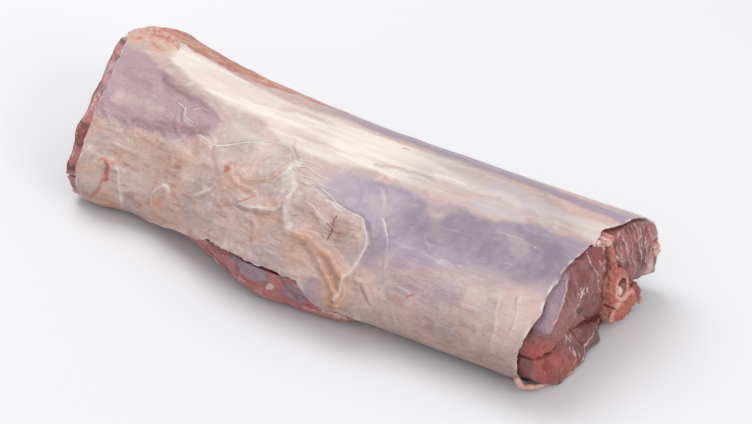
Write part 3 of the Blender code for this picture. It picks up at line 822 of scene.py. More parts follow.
def paintMembrane(mesh, x, s, atRim):
    warpX = roughened(x, x, s, (2.2, 11.0, 21.0), (0.8, 3.0, 22.0))
    warpS = roughened(s, x, s, (2.2, 11.0, 23.0), (0.8, 3.0, 24.0))

    def area(outline, feather):
        return patch(warpX, warpS, outline, feather)

    def stroke(path, reach):
        return line(warpX, warpS, path, reach)

    masks = Masks()
    lilac = area((
        (2, -33), (12, -28), (34, -26), (52, -24), (62, -25), (74, -23), (84, -20), (103, -22), (120, -15),
        (140, -11), (168, -16), (168, -58), (154, -58), (140, -59), (116, -62), (100, -67), (88, -74),
        (68, -77), (56, -76), (53, -66), (47, -57), (37, -51), (24, -49), (8, -46), (-2, -44), (-6, -38),
    ), 4.0)
    lilac *= 0.5 + 0.5 * smooth(-6.0, 44.0, x)
    lilac *= 1.0 - 0.75 * stroke(((170, -60), (140, -61), (116, -65), (100, -70), (86, -76), (70, -79)), 24.0)
    lilac *= 1.0 - 0.45 * stroke(((44, -33), (78, -32)), 5.0) * (0.5 + 0.8 * grain(x, s, 6.0, 25.0))
    lilac *= 1.0 - 0.4 * smooth(0.0, 0.5, grain(x, s, 17.0, 26.0))
    farBand = smooth(10.0, 17.0, warpS - 2.5 * smooth(60.0, 120.0, x)) * smooth(-60.0, 10.0, x)
    farBand *= 1.0 - 0.85 * smooth(24.0, 33.0, warpS + 3.0 * grain(x, s, 16.0, 108.0))
    farBand *= 0.85 - 0.45 * stroke(((15, 27), (48, 30), (84, 33), (119, 29), (150, 27)), 3.5)
    lowGrey = smooth(-68.0, -80.0, s) * smooth(80.0, 96.0, x)
    lowGrey *= smooth(134.0, 112.0, x) * smooth(-104.0, -92.0, s)
    lowLilac = area(((68, -72), (88, -62), (106, -62), (116, -70), (108, -80), (86, -84), (70, -80)), 7.0)
    for values in (
        lilac,
        farBand * smooth(74.0, 52.0, s),
        0.36 * lowGrey,
        0.5 * lowLilac,
        0.6 * smooth(11.0, 3.0, np.hypot(x - 34.0, s + 96.0)),
        0.4 * smooth(12.0, 3.0, np.hypot((x + 1.0) * 0.7, s + 91.0)),
    ):
        masks.add("lilac", values)

    masks["deep"] = 1.3 * area((
        (62, -30), (92, -24), (124, -19), (150, -24), (158, -40), (140, -48), (110, -48), (84, -50),
        (64, -46),
    ), 14.0) + 0.45 * stroke(((34, 12), (48, 15), (69, 15), (90, 16), (130, 19)), 4.0)
    masks["mauve"] = area((
        (-168, -15), (-147, -12), (-138, -14), (-121, -15), (-104, -19), (-84, -21), (-74, -27), (-72, -38),
        (-84, -45), (-97, -51), (-114, -54), (-133, -59), (-147, -64), (-156, -58), (-162, -37),
    ), 4.0) * (1.0 - 0.5 * stroke(((-142, -46), (-130, -42), (-112, -36)), 9.0))
    ridgeMost = area((
        (-140, 10), (-112, 12), (-70, 10), (-50, 4), (-56, -14), (-97, -12), (-116, -10), (-132, -2),
    ), 4.0)
    masks["cream"] = (0.74 + 0.26 * ridgeMost) * area((
        (-168, 16), (-140, 15), (-119, 13), (-92, 12), (-67, 10), (-46, 8), (-20, 12), (12, 14), (34, 11),
        (55, 11), (86, 12), (115, 10), (135, 6), (170, 10), (170, -8), (140, -8), (128, -11), (112, -18),
        (95, -19), (70, -19), (48, -20), (30, -20), (12, -25), (-8, -27), (-24, -26), (-40, -22),
        (-56, -15), (-75, -14), (-97, -12), (-115, -11), (-130, -6), (-150, -2), (-168, -4),
    ), 4.0)
    faded = 0.9 * smooth(20.0, 84.0, x) * (1.0 - 0.45 * smooth(124.0, 152.0, x))
    faded *= 1.0 - 0.7 * stroke(((60, -6), (69, -5), (80, -5), (100, -3), (112, -5)), 5.0)
    masks["faded"] = np.maximum(faded, 0.5 * smooth(-20.0, -30.0, s))
    lowFade = smooth(-44.0, -60.0, s) * smooth(74.0, 50.0, x)
    masks.add("amber", lowFade * (0.34 + 0.42 * grain(x, s, 17.0, 31.0) + 0.25 * grain(x, s, 6.0, 32.0)))

    for name, shapes in areas.items():
        for outline, strength, feather in shapes:
            masks.add(name, strength * area(outline, feather))
    for name, shapes in strokes.items():
        for path, strength, reach in shapes:
            masks.add(name, strength * stroke(path, reach))
    for path in fans:
        masks.add("white", 0.5 * line(x, s, path, 1.6))

    torn = area(((-176, 22), (-150, 18), (-134, 9), (-131, 2), (-140, -3), (-156, -6), (-174, -8)), 3.0)
    masks.add("amber", torn * (0.75 + 1.0 * grain(x, s, 5.0, 92.0)))
    masks.add("amber", 0.45 * smooth(148.0, 158.0, x) * bump(s, -4.0, 12.0))
    masks.add("amber", 0.3 * smooth(-84.0, -96.0, s) * smooth(60.0, 90.0, x))
    masks.add("blood", 0.6 * torn * smooth(0.0, 0.35, grain(x, s, 4.0, 93.0)))
    masks.add("cream", 0.4 * smooth(52.0, 74.0, s))
    for path, strength, reach in (
        (((27, -15), (43, -11.5), (54, -10), (70, -11), (81, -11), (91, -9), (99, -6)), 0.6, 2.4),
        (((49, -14), (61, -14.5), (71, -14.5), (85, -12)), 0.5, 2.0),
        (((-80, -7), (-71, -8), (-58, -3), (-40, 1)), 0.35, 2.2),
    ):
        masks["cream"] *= 1.0 - strength * stroke(path, reach)
    masks["cream"] *= 1.0 - 0.3 * smooth(0.1, 0.5, grain(x, s, 8.0, 27.0, 4.0)) * (1.0 - ridgeMost)
    farCorner = area(((-176, 22), (-150, 18), (-138, 9), (-136, 3), (-146, -2), (-174, -6)), 5.0)
    masks["cream"] *= 1.0 - 0.8 * farCorner

    lowCreases = creases(warpX, warpS, 7.0, 94.0, 1.6) ** 3 * smooth(-0.2, 0.3, grain(x, s, 15.0, 95.0))
    masks.add("shade", 0.42 * lowFade * lowCreases)
    masks.add("shade", 0.5 * smooth(-66.0, -92.0, s) * smooth(50.0, 96.0, x))
    masks.add("shade", lowLilac * (0.3 + 0.3 * grain(x, s, 6.0, 109.0, 1.6)))
    masks.add("shade", 0.3 * lowFade * smooth(0.0, 0.45, grain(x, s, 9.0, 97.0, 1.8)))
    hazeLine = stroke(((62, -66), (76, -60), (92, -58), (108, -56), (126, -60), (146, -58)), 7.0)
    masks.add("white", 0.4 * hazeLine * smooth(-0.2, 0.3, grain(x, s, 5.0, 110.0, 2.0)))
    masks.add("white", 0.4 * lowFade * creases(warpX, warpS, 10.0, 96.0, 1.4) ** 4)
    masks.add("white", smooth(2.6, 0.2, atRim) * 0.75 * (0.6 + 0.8 * grain(x, s, 5.0, 48.0)))

    masks["bare"] = area((
        (-168, 20), (-152, 16), (-141, 15), (-121, 13.5), (-97, 14.5), (-66, 18), (-30, 23), (-12, 28),
        (-34, 31), (-70, 31), (-105, 37), (-135, 42), (-168, 48),
    ), 2.2)
    for values in (
        0.7 * smooth(-40.0, -60.0, s) * smooth(70.0, 44.0, x) * (0.7 + 0.6 * grain(x, s, 14.0, 28.0)),
        0.4 * smooth(-56.0, -74.0, s) * smooth(56.0, 90.0, x),
        0.3 * masks["mauve"],
        0.9 * masks["bare"],
        0.35 * smooth(46.0, 70.0, s),
    ):
        masks.add("crumpled", values)
    masks.keep(mesh)


def makeMembrane():
    rows = membrane["nearRows"] + membrane["farRows"]
    columns, turned = membrane["columns"], 3  # turned: the rows that carry the rim down and back under
    bm = bmesh.new()
    bmesh.ops.create_grid(bm, x_segments=columns + 2 * turned, y_segments=rows + 2 * turned, size=1.0)
    mesh = bpy.data.meshes.new("membrane")
    bm.to_mesh(mesh)
    bm.free()
    flat = meshPoints(mesh)
    i = np.rint((flat[:, 0] + 1.0) / 2.0 * (columns + 2 * turned)) - turned
    j = np.rint((flat[:, 1] + 1.0) / 2.0 * (rows + 2 * turned)) - turned
    share = np.clip(i / columns, 0.0, 1.0)
    t = np.clip(j / rows, 0.0, 1.0)
    nearPart = membrane["nearRows"] / rows
    w = np.where(t < nearPart, t / nearPart * 0.59, 0.59 + (t - nearPart) / (1.0 - nearPart) * 0.41)
    pastEnd = np.maximum(np.maximum(-i, i - columns), 0.0)
    pastSide = np.maximum(np.maximum(-j, j - rows), 0.0)
    turnedIn = np.maximum(pastEnd, pastSide)

    x, v = membraneSpots(share, w)
    s = girthAt(x, v)
    # ragged edges: torn along the low side, knife-cut at the ends
    nearRim = np.minimum(np.minimum(share, 1.0 - share) * 331.0, 1e3)
    sideRim = np.minimum(t, 1.0 - t) * 215.0
    endTear = roughened(0.0, s, s * 0.0, (0.9, 9.0, 41.0), (0.6, 3.1, 42.0), (0.3, 1.3, 43.0))
    crumbled = bump(s, -2.0, 14.0) * smooth(0.9, 1.0, share)
    crumbled = crumbled + 1.4 * bump(s, 6.0, 18.0) * smooth(0.1, 0.0, share)
    fringe = 0.5 * grain(s, s * 0.0, 0.8, 111.0) * smooth(5.0, 0.0, nearRim) * (share > 0.5)
    outwards = np.where(share < 0.5, -1.0, 1.0)
    x = x + (endTear * (1.0 + 1.6 * crumbled) * smooth(14.0, 0.0, nearRim) + fringe) * outwards
    sideTear = roughened(0.0, x, x * 0.0, (1.5, 11.0, 44.0), (1.0, 4.2, 45.0), (0.5, 1.7, 46.0))
    v = v + 0.016 * sideTear * smooth(16.0, 0.0, sideRim) * np.where(t < 0.5, 1.0, 0.6)
    s = girthAt(x, v)

    relief = membraneRelief(x, s)
    atRim = np.minimum(nearRim, sideRim)
    relief *= 0.35 + 0.65 * smooth(0.0, 5.0, atRim)
    rolled = 0.45 * (1.0 - smooth(0.0, 3.0, atRim)) * (0.7 + 0.9 * grain(x, s, 6.0, 47.0))
    lifted = 1.0 * smooth(0.95, 1.0, share) * bump(v, -0.58, 0.3)
    rounding = 0.45 * (1.0 - smooth(0.0, 1.6, atRim))
    lowered = 1.2 * smooth(130.0, 150.0, x) * smooth(-1.5, -1.75, v)
    openSide = smooth(-112.0, -92.0, x) * smooth(66.0, 44.0, x) * (t < 0.5)
    lowered += 2.0 * smooth(9.0, 0.0, sideRim) * openSide  # lies down on the flank where it ends
    closing = 0.3 + 1.6 * smooth(-0.3, 0.0, v)
    thick, step = membrane["thick"], turnedIn.astype(int)
    depth = np.choose(step, (rounding, 0.6 + 0 * x, thick + 0 * x, thick + closing))
    under = np.choose(step, (0.0 * x, -0.25 + 0 * x, 0.1 + 0 * x, 3.5 + 0 * x))
    x = x - np.where(pastEnd > 0, under * outwards, 0.0)
    v = v + np.where(pastSide > 0, under * np.where(t < 0.5, 0.014, -0.014), 0.0)
    y, z = surfacePoint(x, v, depth - relief - rolled - lifted - lowered)
    z = np.maximum(z, 0.25)
    setPoints(mesh, toMetres(np.stack((x, y, z), axis=1)))
    paintMembrane(mesh, x, s, atRim)
    if sum(mesh.polygons[k].normal.z for k in range(0, len(mesh.polygons), 300)) < 0:
        mesh.flip_normals()
    return addPiece("fasciaSheet", mesh, membraneMaterial, ["fascia"])


makeMembrane()
print("membrane made")


# Muscles, bone and fat at the cuts

def wantedLength(name, x, y, z):
    # longest edge wanted here, in drawing units
    if x > 152.0:
        return 0.8
    if x < -140.0 or (x < -118.0 and y < 0.0):
        return 1.6
    if name == "flank_left" and -74.0 < x < 96.0 and y < -30.0 and z < 34.0:
        return 1.15
    if name in ("flank_left", "flank_right") and (y < -44.0 or y > 50.0) and z < 30.0:
        return 3.2
    return 1e9


def refinedCopy(name):
    bm = bmesh.new()
    bm.from_mesh(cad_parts[name].data)
    bmesh.ops.remove_doubles(bm, verts=bm.verts[:], dist=3e-6)
    for _ in range(7):
        chosen = []
        for edge in bm.edges:
            a, b = edge.verts[0].co, edge.verts[1].co
            middle = (a + b) / 2
            place = (middle.x / unit + centre[0], middle.y / unit + centre[1], middle.z / unit)
            if (a - b).length > 1.4 * unit * wantedLength(name, *place):
                chosen.append(edge)
        if not chosen:
            break
        bmesh.ops.subdivide_edges(bm, edges=chosen, cuts=1)
        bmesh.ops.triangulate(bm, faces=[face for face in bm.faces if len(face.verts) > 3])
    mesh = bpy.data.meshes.new(name + " dressed")
    bm.to_mesh(mesh)
    bm.free()
    return mesh


# lines on the open cut, by y and z
nearSeams = (
    ((12, 60), (12.5, 54), (14.5, 45), (17, 37), (20.5, 29)),
    ((24, 60), (25.5, 50), (26, 42), (25, 34), (24.5, 26), (26, 19)),
    ((5, 24), (10, 18), (15, 13)),
    ((-29, 26), (-31, 19), (-33, 12)),
    ((-19, 20), (-21, 14), (-24, 8)),
)
farStreaks = (
    ((44, 62), (45.5, 54), (47, 46), (49, 38), (53, 30)),
    ((38, 58), (41, 50), (44, 42), (49, 33)),
    ((51, 60), (53, 50), (55, 40), (57, 31)),
    ((58, 56), (60, 46), (61, 36), (62, 26)),
    ((33, 54), (37, 46), (41, 38)),
    ((64, 48), (66, 40), (67, 30)),
    ((35, 46), (39, 40)),
    ((48, 58), (50, 48)),
)
glintPlaces = (
    # y and z of the middle, spread in y and z, how many
    (-2.0, 46.0, 3.0, 5.0, 12), (-9.0, 37.5, 4.0, 3.0, 7), (-4.0, 31.0, 3.0, 3.0, 4),
    (-10.0, 17.0, 3.5, 6.0, 15), (-15.0, 25.0, 4.0, 4.0, 5), (38.0, 46.0, 5.0, 8.0, 12),
    (57.0, 44.0, 5.0, 9.0, 9), (20.0, 40.0, 4.0, 10.0, 6),
)


# painted highlights: small glints scattered in clusters over the cut faces
def scatterPaintedGlints():
    pick = random.Random(5)
    marks = []
    for middleY, middleZ, spreadY, spreadZ, count in glintPlaces:
        for _ in range(count):
            y, z = middleY + pick.gauss(0, 0.6) * spreadY, middleZ + pick.gauss(0, 0.6) * spreadZ
            turn, half = pick.uniform(-0.6, 1.4), pick.uniform(0.3, 1.3)
            lean = (math.sin(turn) * half, math.cos(turn) * half)
            marks.append(((y - lean[0], z - lean[1]), (y + lean[0], z + lean[1]), pick.uniform(0.7, 1.15)))
    return marks


paintedGlints = scatterPaintedGlints()


def cutRelief(name, x, y, z):
    # how far the open cut stands out or in, by place on it
    out = roughened(0.0, y, z, (0.9, 11.0, 51.0), (0.55, 4.2, 52.0), (0.3, 1.9, 53.0))
    if name == "loin_left":
        out -= 2.2 * line(y, z, ((-3, 34), (1, 28)), 7.0)
        out -= 3.2 * smooth(48.0, 57.0, z) * smooth(-20.0, -6.0, y) * smooth(28.0, 18.0, y)
        out += 1.1 * line(y, z, ((4, 56), (2, 44), (6, 34)), 9.0)
        out -= 1.0 * line(y, z, ((24, 52), (25, 40), (23, 30)), 4.0)
    if name == "flank_left":
        out += 2.6 * line(y, z, ((-38, 28), (-32, 20)), 12.0)
        out -= 3.4 * line(y, z, ((-38.7, 24), (-36, 17)), 3.0)
    for seam in nearSeams[:3]:
        out -= 0.7 * line(y, z, seam, 1.6)
    for seam in nearSeams[3:]:
        out -= 1.0 * line(y, z, seam, 2.2)
    for streak in farStreaks:
        out += 0.5 * line(y, z, streak, 1.4) - 0.5 * line(y + 2.0, z, streak, 1.8)
    return out


cutAreas = (
    # mask, outline by y and z, strength, feather
    ("bright", ((4, 62), (24, 62), (26, 48), (20, 44), (12, 52)), 0.55, 5.0),
    ("bright", ((-50, 38), (-38, 38), (-28, 28), (-26, 16), (-36, 6), (-50, 12)), 0.95, 4.0),
    ("bright", ((-26, 26), (-14, 18), (-4, 6), (-12, 0), (-32, 6)), 0.5, 4.0),
    ("tan", ((-24, 50), (-4, 42), (8, 18), (-4, 12), (-24, 28), (-34, 38)), 0.95, 5.0),
)
cutShadows = (
    # path by y and z, strength, reach
    (((-2, 33), (1, 29)), 0.9, 3.4),
    (((-39, 24), (-37, 15)), 0.6, 1.5),
    (((36, 52), (38, 50)), 0.7, 1.6),
)
lowMarks = (
    # on the bare flank: mask, path by x and z, strength, reach
    ("dark", ((11, 24), (15, 16), (20, 12)), 0.6, 3.0),
    ("bright", ((24, 10), (28, 9)), 0.9, 3.0),
    ("fat", ((-60, 22), (-40, 18), (-24, 16)), 0.7, 0.9),
    ("fat", ((34, 9), (46, 7), (60, 6)), 0.6, 1.2),
)


def paintCut(name, mesh, points, cut, farCut, side):
    x, y, z = points.T
    warpY = roughened(y, y, z, (0.9, 4.0, 61.0), (0.4, 1.8, 62.0))
    warpZ = roughened(z, y, z, (0.9, 4.0, 63.0), (0.4, 1.8, 64.0))

    def area(outline, feather):
        return patch(warpY, warpZ, outline, feather)

    def stroke(path, reach):
        return line(warpY, warpZ, path, reach)

    # the open cut
    masks = Masks()
    if name.endswith("left"):
        for seam, strength, reach in zip(nearSeams, (0.85, 0.9, 0.8, 0.5, 0.55), (1.1, 1.3, 0.9, 1.0, 1.1)):
            masks.add("fat", strength * stroke(seam, reach))
        masks.add("fat", 0.8 * stroke(((28, 20), (27, 9), (18, 9), (5, 8), (-2, 5), (-8, 1)), 1.2))
    else:
        for streak in farStreaks:
            masks.add("fat", 0.75 * stroke(streak, 0.9))
        masks.add("fat", 0.6 * area(((66, 24), (72, 24), (74, 12), (66, 14)), 2.0))
    # painted highlights: the glints are laid into the pale fat mask
    for start, end, reach in paintedGlints:
        masks.add("fat", stroke((start, end), reach))
    for maskName, outline, strength, feather in cutAreas:
        masks.add(maskName, strength * area(outline, feather))
    for path, strength, reach in cutShadows:
        masks.add("dark", strength * stroke(path, reach))
    masks.add("tan", 0.5 * smooth(0.1, 0.5, grain(y, z, 12.0, 67.0)) * (y > 30.0))
    inner = area(((14, 56), (25, 56), (26, 30), (24, 20), (19, 32)), 2.5)
    masks.add("grey", 0.35 * inner)
    masks.add("bright", 0.5 * inner)
    if name == "tenderloin_left":
        # painted shade: the tenderloin flap under the bone lies in shade, so it is darkened over its greyish
        # own colour
        flap = area(((2, 8), (14, 9.5), (30, 8), (32, -4), (2, -4)), 1.2)
        masks.add("grey", flap)
        masks.add("dark", 0.45 * flap)
    masks.add("rose", 0.6 * smooth(26.0, 36.0, y) * smooth(-0.5, 0.2, grain(y, z, 9.0, 102.0)))
    for maskName in masks:
        masks[maskName] *= cut

    # the strip of silverskin between the cut and the membrane's drawn-back edge
    edge = [outlinePoint(np.array([155.0]), np.array([k / 50.0 - 1.8])) for k in range(90)]
    beside = pathDistance(y, z, edge)[0] + 0.6 * grain(y, z, 3.0, 91.0)
    sliver = smooth(138.0, 148.0, x) * smooth(-44.0, -30.0, y) * smooth(2.0, -12.0, y) * smooth(24.0, 34.0, z)
    sheathed = sliver * smooth(4.4, 3.2, beside)
    masks.add("film", sheathed)
    # painted shadow along the top of the silverskin strip, under the membrane's lifted edge
    masks.add("dark", 0.5 * sheathed * line(y, z, ((-16, 55), (-4, 59), (6, 62)), 4.0))

    # the far cut, and the bare stub before it
    farFat = 0.6 * creases(y, z, 13.0, 65.0) ** 3 * smooth(-0.1, 0.3, grain(y, z, 20.0, 66.0))
    masks.add("film", 0.3 * farCut * smooth(0.1, 0.5, grain(y, z, 12.0, 85.0)))
    masks.add("rose", 0.6 * farCut * smooth(-0.3, 0.4, grain(y, z, 12.0, 86.0)))
    masks.add("dark", 0.6 * farCut * smooth(0.15, 0.45, grain(y, z, 7.0, 87.0)))
    stub = smooth(-94.0, -110.0, x) * (1.0 - farCut)
    patches = grain(y + 0.4 * x, z, 8.0, 98.0)
    masks.add("rose", stub * smooth(-0.25, 0.1, patches))
    masks.add("film", 0.9 * stub * smooth(0.0, 0.3, grain(z - y, x, 5.0, 99.0, 4.0)))
    masks.add("bright", 0.5 * stub * smooth(0.15, 0.4, -patches))
    masks.add("dark", 0.5 * stub * smooth(0.2, 0.45, grain(y, z, 5.0, 100.0)))
    masks["fat"] += farFat * farCut + 0.8 * stub * creases(z - y, x, 3.6, 101.0, 6.0) ** 2
    masks.add("fat", 0.85 * sliver * bump(beside, 3.7, 0.9) * smooth(152.0, 158.0, x))

    if name == "flank_left":
        low = side * smooth(-124.0, -108.0, x) * smooth(84.0, 66.0, x)
        lowX, lowZ = x + 5.0 * grain(x, z, 9.0, 103.0, 2.0), z + 3.0 * grain(x, z, 7.0, 104.0, 2.0)
        purple = patch(lowX, lowZ, ((-24, 30), (-2, 30), (2, 20), (-6, 12), (-20, 14)), 3.0)
        purple = np.maximum(purple, 0.8 * patch(lowX, lowZ, ((14, 22), (28, 20), (26, 10), (12, 12)), 3.0))
        veins = creases(lowX, lowZ, 8.0, 105.0, 3.0) ** 3 * smooth(-0.1, 0.3, grain(x, z, 12.0, 106.0))
        masks.add("film", 0.8 * low * purple)
        masks.add("rose", low * (0.85 + 0.4 * grain(x, z, 12.0, 68.0, 2.0)) * (1.0 - 0.6 * purple))
        masks.add("bright", 0.45 * low * smooth(-0.1, 0.4, grain(x, z, 9.0, 88.0, 2.0)))
        masks.add("fat", 0.7 * low * veins)
        for maskName, path, strength, reach in lowMarks:
            masks.add(maskName, strength * low * line(x, z, path, reach))
    if name.startswith("flank"):
        masks.add("fat", 0.4 * side * creases(x, z, 9.0, 69.0, 4.0) ** 2)
    masks.keep(mesh)


def makeMuscle(name):
    mesh = refinedCopy(name)
    points, normals = toUnits(meshPoints(mesh)), meshNormals(mesh)
    x, y, z = points.T
    cut = smooth(0.25, 0.7, normals[:, 0]) * (x > 140.0)
    farCut = smooth(0.25, 0.7, -normals[:, 0]) * (x < -100.0)
    side = (1.0 - cut) * (1.0 - farCut)
    atCut = smooth(148.0, 158.0, x)
    moved = np.zeros_like(points)
    moved[:, 0] += atCut * cutRelief(name, x, y, z)
    # the seams between the muscles close up towards the cuts
    closing = np.maximum(0.26 * atCut, 0.3 * smooth(-128.0, -140.0, x))
    moved += normals * (0.0, 1.0, 1.0) * closing[:, None]
    ragged = roughened(0.0, y, z, (1.4, 8.0, 54.0), (0.4, 3.4, 55.0), (0.15, 1.6, 56.0))
    lowLump = 3.4 * bump(y, -46.0, 14.0) * bump(z, 24.0, 12.0)
    lowLump += 3.0 * bump(y, -28.0, 16.0) * bump(z, 48.0, 14.0)
    moved[:, 0] -= smooth(-120.0, -140.0, x) * (ragged + 2.4 * grain(y, z, 14.0, 57.0) + lowLump)
    fibre = 0.5 * grain(x, z + y, 3.0, 58.0, 4.0) + 0.3 * grain(x, z - y, 1.7, 59.0, 3.0)
    bareLow = (name == "flank_left") * smooth(-120.0, -100.0, x) * smooth(90.0, 70.0, x)
    bareLow = bareLow * smooth(-36.0, -44.0, y)
    fuller = 4.0 * bump(x, -88.0, 26.0) - 3.6 * bump(x, -30.0, 30.0)
    moved += normals * (bareLow * (fibre * 1.5 + 0.9 * grain(x, z, 10.0, 60.0) + fuller))[:, None]
    points = points + moved
    points[:, 2] = np.maximum(points[:, 2], 0.0)
    setPoints(mesh, toMetres(points))
    paintCut(name, mesh, points, cut, farCut, side)
    return addPiece(name + "_muscle", mesh, meatMaterial, [name])


def makeBackbone():
    mesh = refinedCopy("backbone")
    points, normals = toUnits(meshPoints(mesh)), meshNormals(mesh)
    x, y, z = points.T
    cut = smooth(0.3, 0.75, normals[:, 0]) * (x > 140.0)
    farCut = smooth(0.3, 0.75, -normals[:, 0]) * (x < -140.0)
    away = np.hypot((y - 39.0) / 12.5, (z - 12.0) / 9.5)
    body = 1.0 - smooth(0.7, 1.15, away)
    spongy = roughened(0.0, y, z, (0.5, 2.6, 71.0), (0.55, 1.3, 72.0))
    moved = np.zeros_like(points)
    crown = 2.4 * body - 2.6 * smooth(24.0, 44.0, z)
    moved[:, 0] += smooth(158.0, 164.0, x) * (spongy * (0.6 + body) + crown)
    moved[:, 0] -= smooth(-165.0, -172.0, x) * spongy
    points = points + moved
    setPoints(mesh, toMetres(points))
    ends = np.maximum(cut, farCut)
    ring = bump(away, 0.94, 0.16) * (z < 26.0)
    canal = np.hypot((y - 35.2) / 4.4, (z - 27.0) / 5.8)
    rim = np.maximum(ring, bump(canal, 1.2, 0.35)) * ends
    rim = np.maximum(rim, ends * smooth(42.0, 50.0, z) * (0.35 + 0.5 * grain(y, z, 3.0, 73.0)))
    rim = np.maximum(rim, (1.0 - ends) * (0.55 + 0.5 * grain(x + y, z, 3.0, 78.0)))
    rim = rim * (1.0 - 0.6 * bump(y + 0.3 * z, 47.0, 9.0) * (z > 30.0) * (z < 44.0))
    keepMask(mesh, "rim", rim)
    # painted shade: the inside of the spinal canal, round the cord, darkened; with a short dark line near it
    dark = np.maximum(0.9 * (1.0 - smooth(0.85, 1.05, canal)), line(y, z, ((27, 18), (28.5, 16.5)), 1.6))
    keepMask(mesh, "dark", dark)
    return addPiece("backboneBone", mesh, boneMaterial, ["backbone"])


def makeCord():
    mesh = refinedCopy("spinal_cord")
    points = toUnits(meshPoints(mesh))
    forward = smooth(140.0, 160.0, points[:, 0])
    points += forward[:, None] * (4.0, -0.9, -1.2)
    points[:, 0] += forward * 0.5 * grain(points[:, 1], points[:, 2], 1.6, 79.0)
    setPoints(mesh, toMetres(points))
    keepMask(mesh, "pink", 0.25 * smooth(0.1, 0.5, grain(points[:, 1], points[:, 2], 3.0, 74.0)))
    return addPiece("spinalCordEnd", mesh, fatMaterial, ["spinal_cord"])


def makeRidgeFat():
    mesh = refinedCopy("ridge_fat")
    points = toUnits(meshPoints(mesh))
    x, y, z = points.T
    points[:, 0] += smooth(150.0, 158.0, x) * roughened(0.0, y, z, (1.2, 2.4, 75.0), (0.7, 1.2, 76.0))
    setPoints(mesh, toMetres(points))
    pink = 0.5 * smooth(0.0, 0.5, grain(y, z, 5.0, 77.0))
    keepMask(mesh, "pink", np.maximum(pink, 0.75 * smooth(-0.3, 0.2, grain(y, z, 2.6, 107.0))))
    return addPiece("ridgeFatWedge", mesh, fatMaterial, ["ridge_fat"])


for muscle in ("loin_left", "loin_right", "flank_left", "flank_right", "tenderloin_left", "tenderloin_right"):
    makeMuscle(muscle)
makeBackbone()
makeCord()
makeRidgeFat()
print("muscles and bone made")


# Scraps of fat and loose ends

def lump(bm, middle, radii, seed, roughness=0.3, turn=(0.0, 0.0, 0.0), detail=4):
    # an uneven rounded scrap about this middle, in drawing units
    made = bmesh.ops.create_icosphere(bm, subdivisions=detail, radius=1.0)["verts"]
    aboutX, aboutY, aboutZ = (Matrix.Rotation(angle, 3, axis) for angle, axis in zip(turn, "XYZ"))
    spin = aboutZ @ aboutY @ aboutX
    for vert in made:
        place = Vector(vert.co)
        rise = noise.fractal(place * 1.3 + Vector((seed, seed * 0.7, 0.0)), 0.7, 2.1, 4)
        place = place * (1.0 + roughness * rise)
        place = spin @ Vector((place.x * radii[0], place.y * radii[1], place.z * radii[2]))
        vert.co = Vector(toMetres(np.array(middle) + np.array(place)))


def lumpsPiece(name, lumps, material, pinkness=0.0):
    bm = bmesh.new()
    for item in lumps:
        lump(bm, *item)
    mesh = bpy.data.meshes.new(name)
    bm.to_mesh(mesh)
    bm.free()
    points = toUnits(meshPoints(mesh))
    if material is fatMaterial:
        uneven = grain(points[:, 0] + points[:, 1], points[:, 2], 3.0, 81.0)
        keepMask(mesh, "pink", pinkness * smooth(-0.2, 0.5, uneven))
    else:
        keepPlain(mesh, meatMasks, {"bright": 0.75})
    return addPiece(name, mesh, material)


def onMembrane(path, lift):
    # points of a path laid on the membrane, in drawing units
    places = np.array(curved(path))
    x, s = places[:, 0], places[:, 1]
    low, high = np.full(len(x), -2.0), np.full(len(x), 2.0)
    for _ in range(26):
        v = (low + high) / 2
        short = girthAt(x, v) < s
        low, high = np.where(short, v, low), np.where(short, high, v)
    y, z = surfacePoint(x, v, -membraneRelief(x, s) - lift)
    return np.stack((x, y, z), axis=1)


def tubes(name, parts, material, masks):
    # parts are (points, radius, end radius); each is a round strand with closed ends
    bm = bmesh.new()
    for points, radius, endRadius in parts:
        before = None
        for k, point in enumerate(points):
            ahead, behind = points[min(k + 1, len(points) - 1)], points[max(k - 1, 0)]
            along = Vector(ahead - behind).normalized()
            aside = along.cross(Vector((0.0, 0.0, 1.0))).normalized()
            above = aside.cross(along)
            share = k / (len(points) - 1)
            atEnd = k in (0, len(points) - 1)
            wide = (radius + (endRadius - radius) * share) * (0.35 if atEnd else 1.0)
            made = bmesh.ops.create_circle(bm, cap_ends=atEnd, segments=8, radius=1.0)["verts"]
            ring = list({edge for vert in made for edge in vert.link_edges})
            for vert in made:
                place = Vector(point) + (aside * vert.co.x + above * vert.co.y) * wide
                vert.co = Vector(toMetres(np.array(place)))
            if before:
                bmesh.ops.bridge_loops(bm, edges=before + ring)
            before = ring
    bmesh.ops.recalc_face_normals(bm, faces=bm.faces[:])
    mesh = bpy.data.meshes.new(name)
    bm.to_mesh(mesh)
    bm.free()
    keepPlain(mesh, meatMasks if material is meatMaterial else masks, masks)
    return addPiece(name, mesh, material)


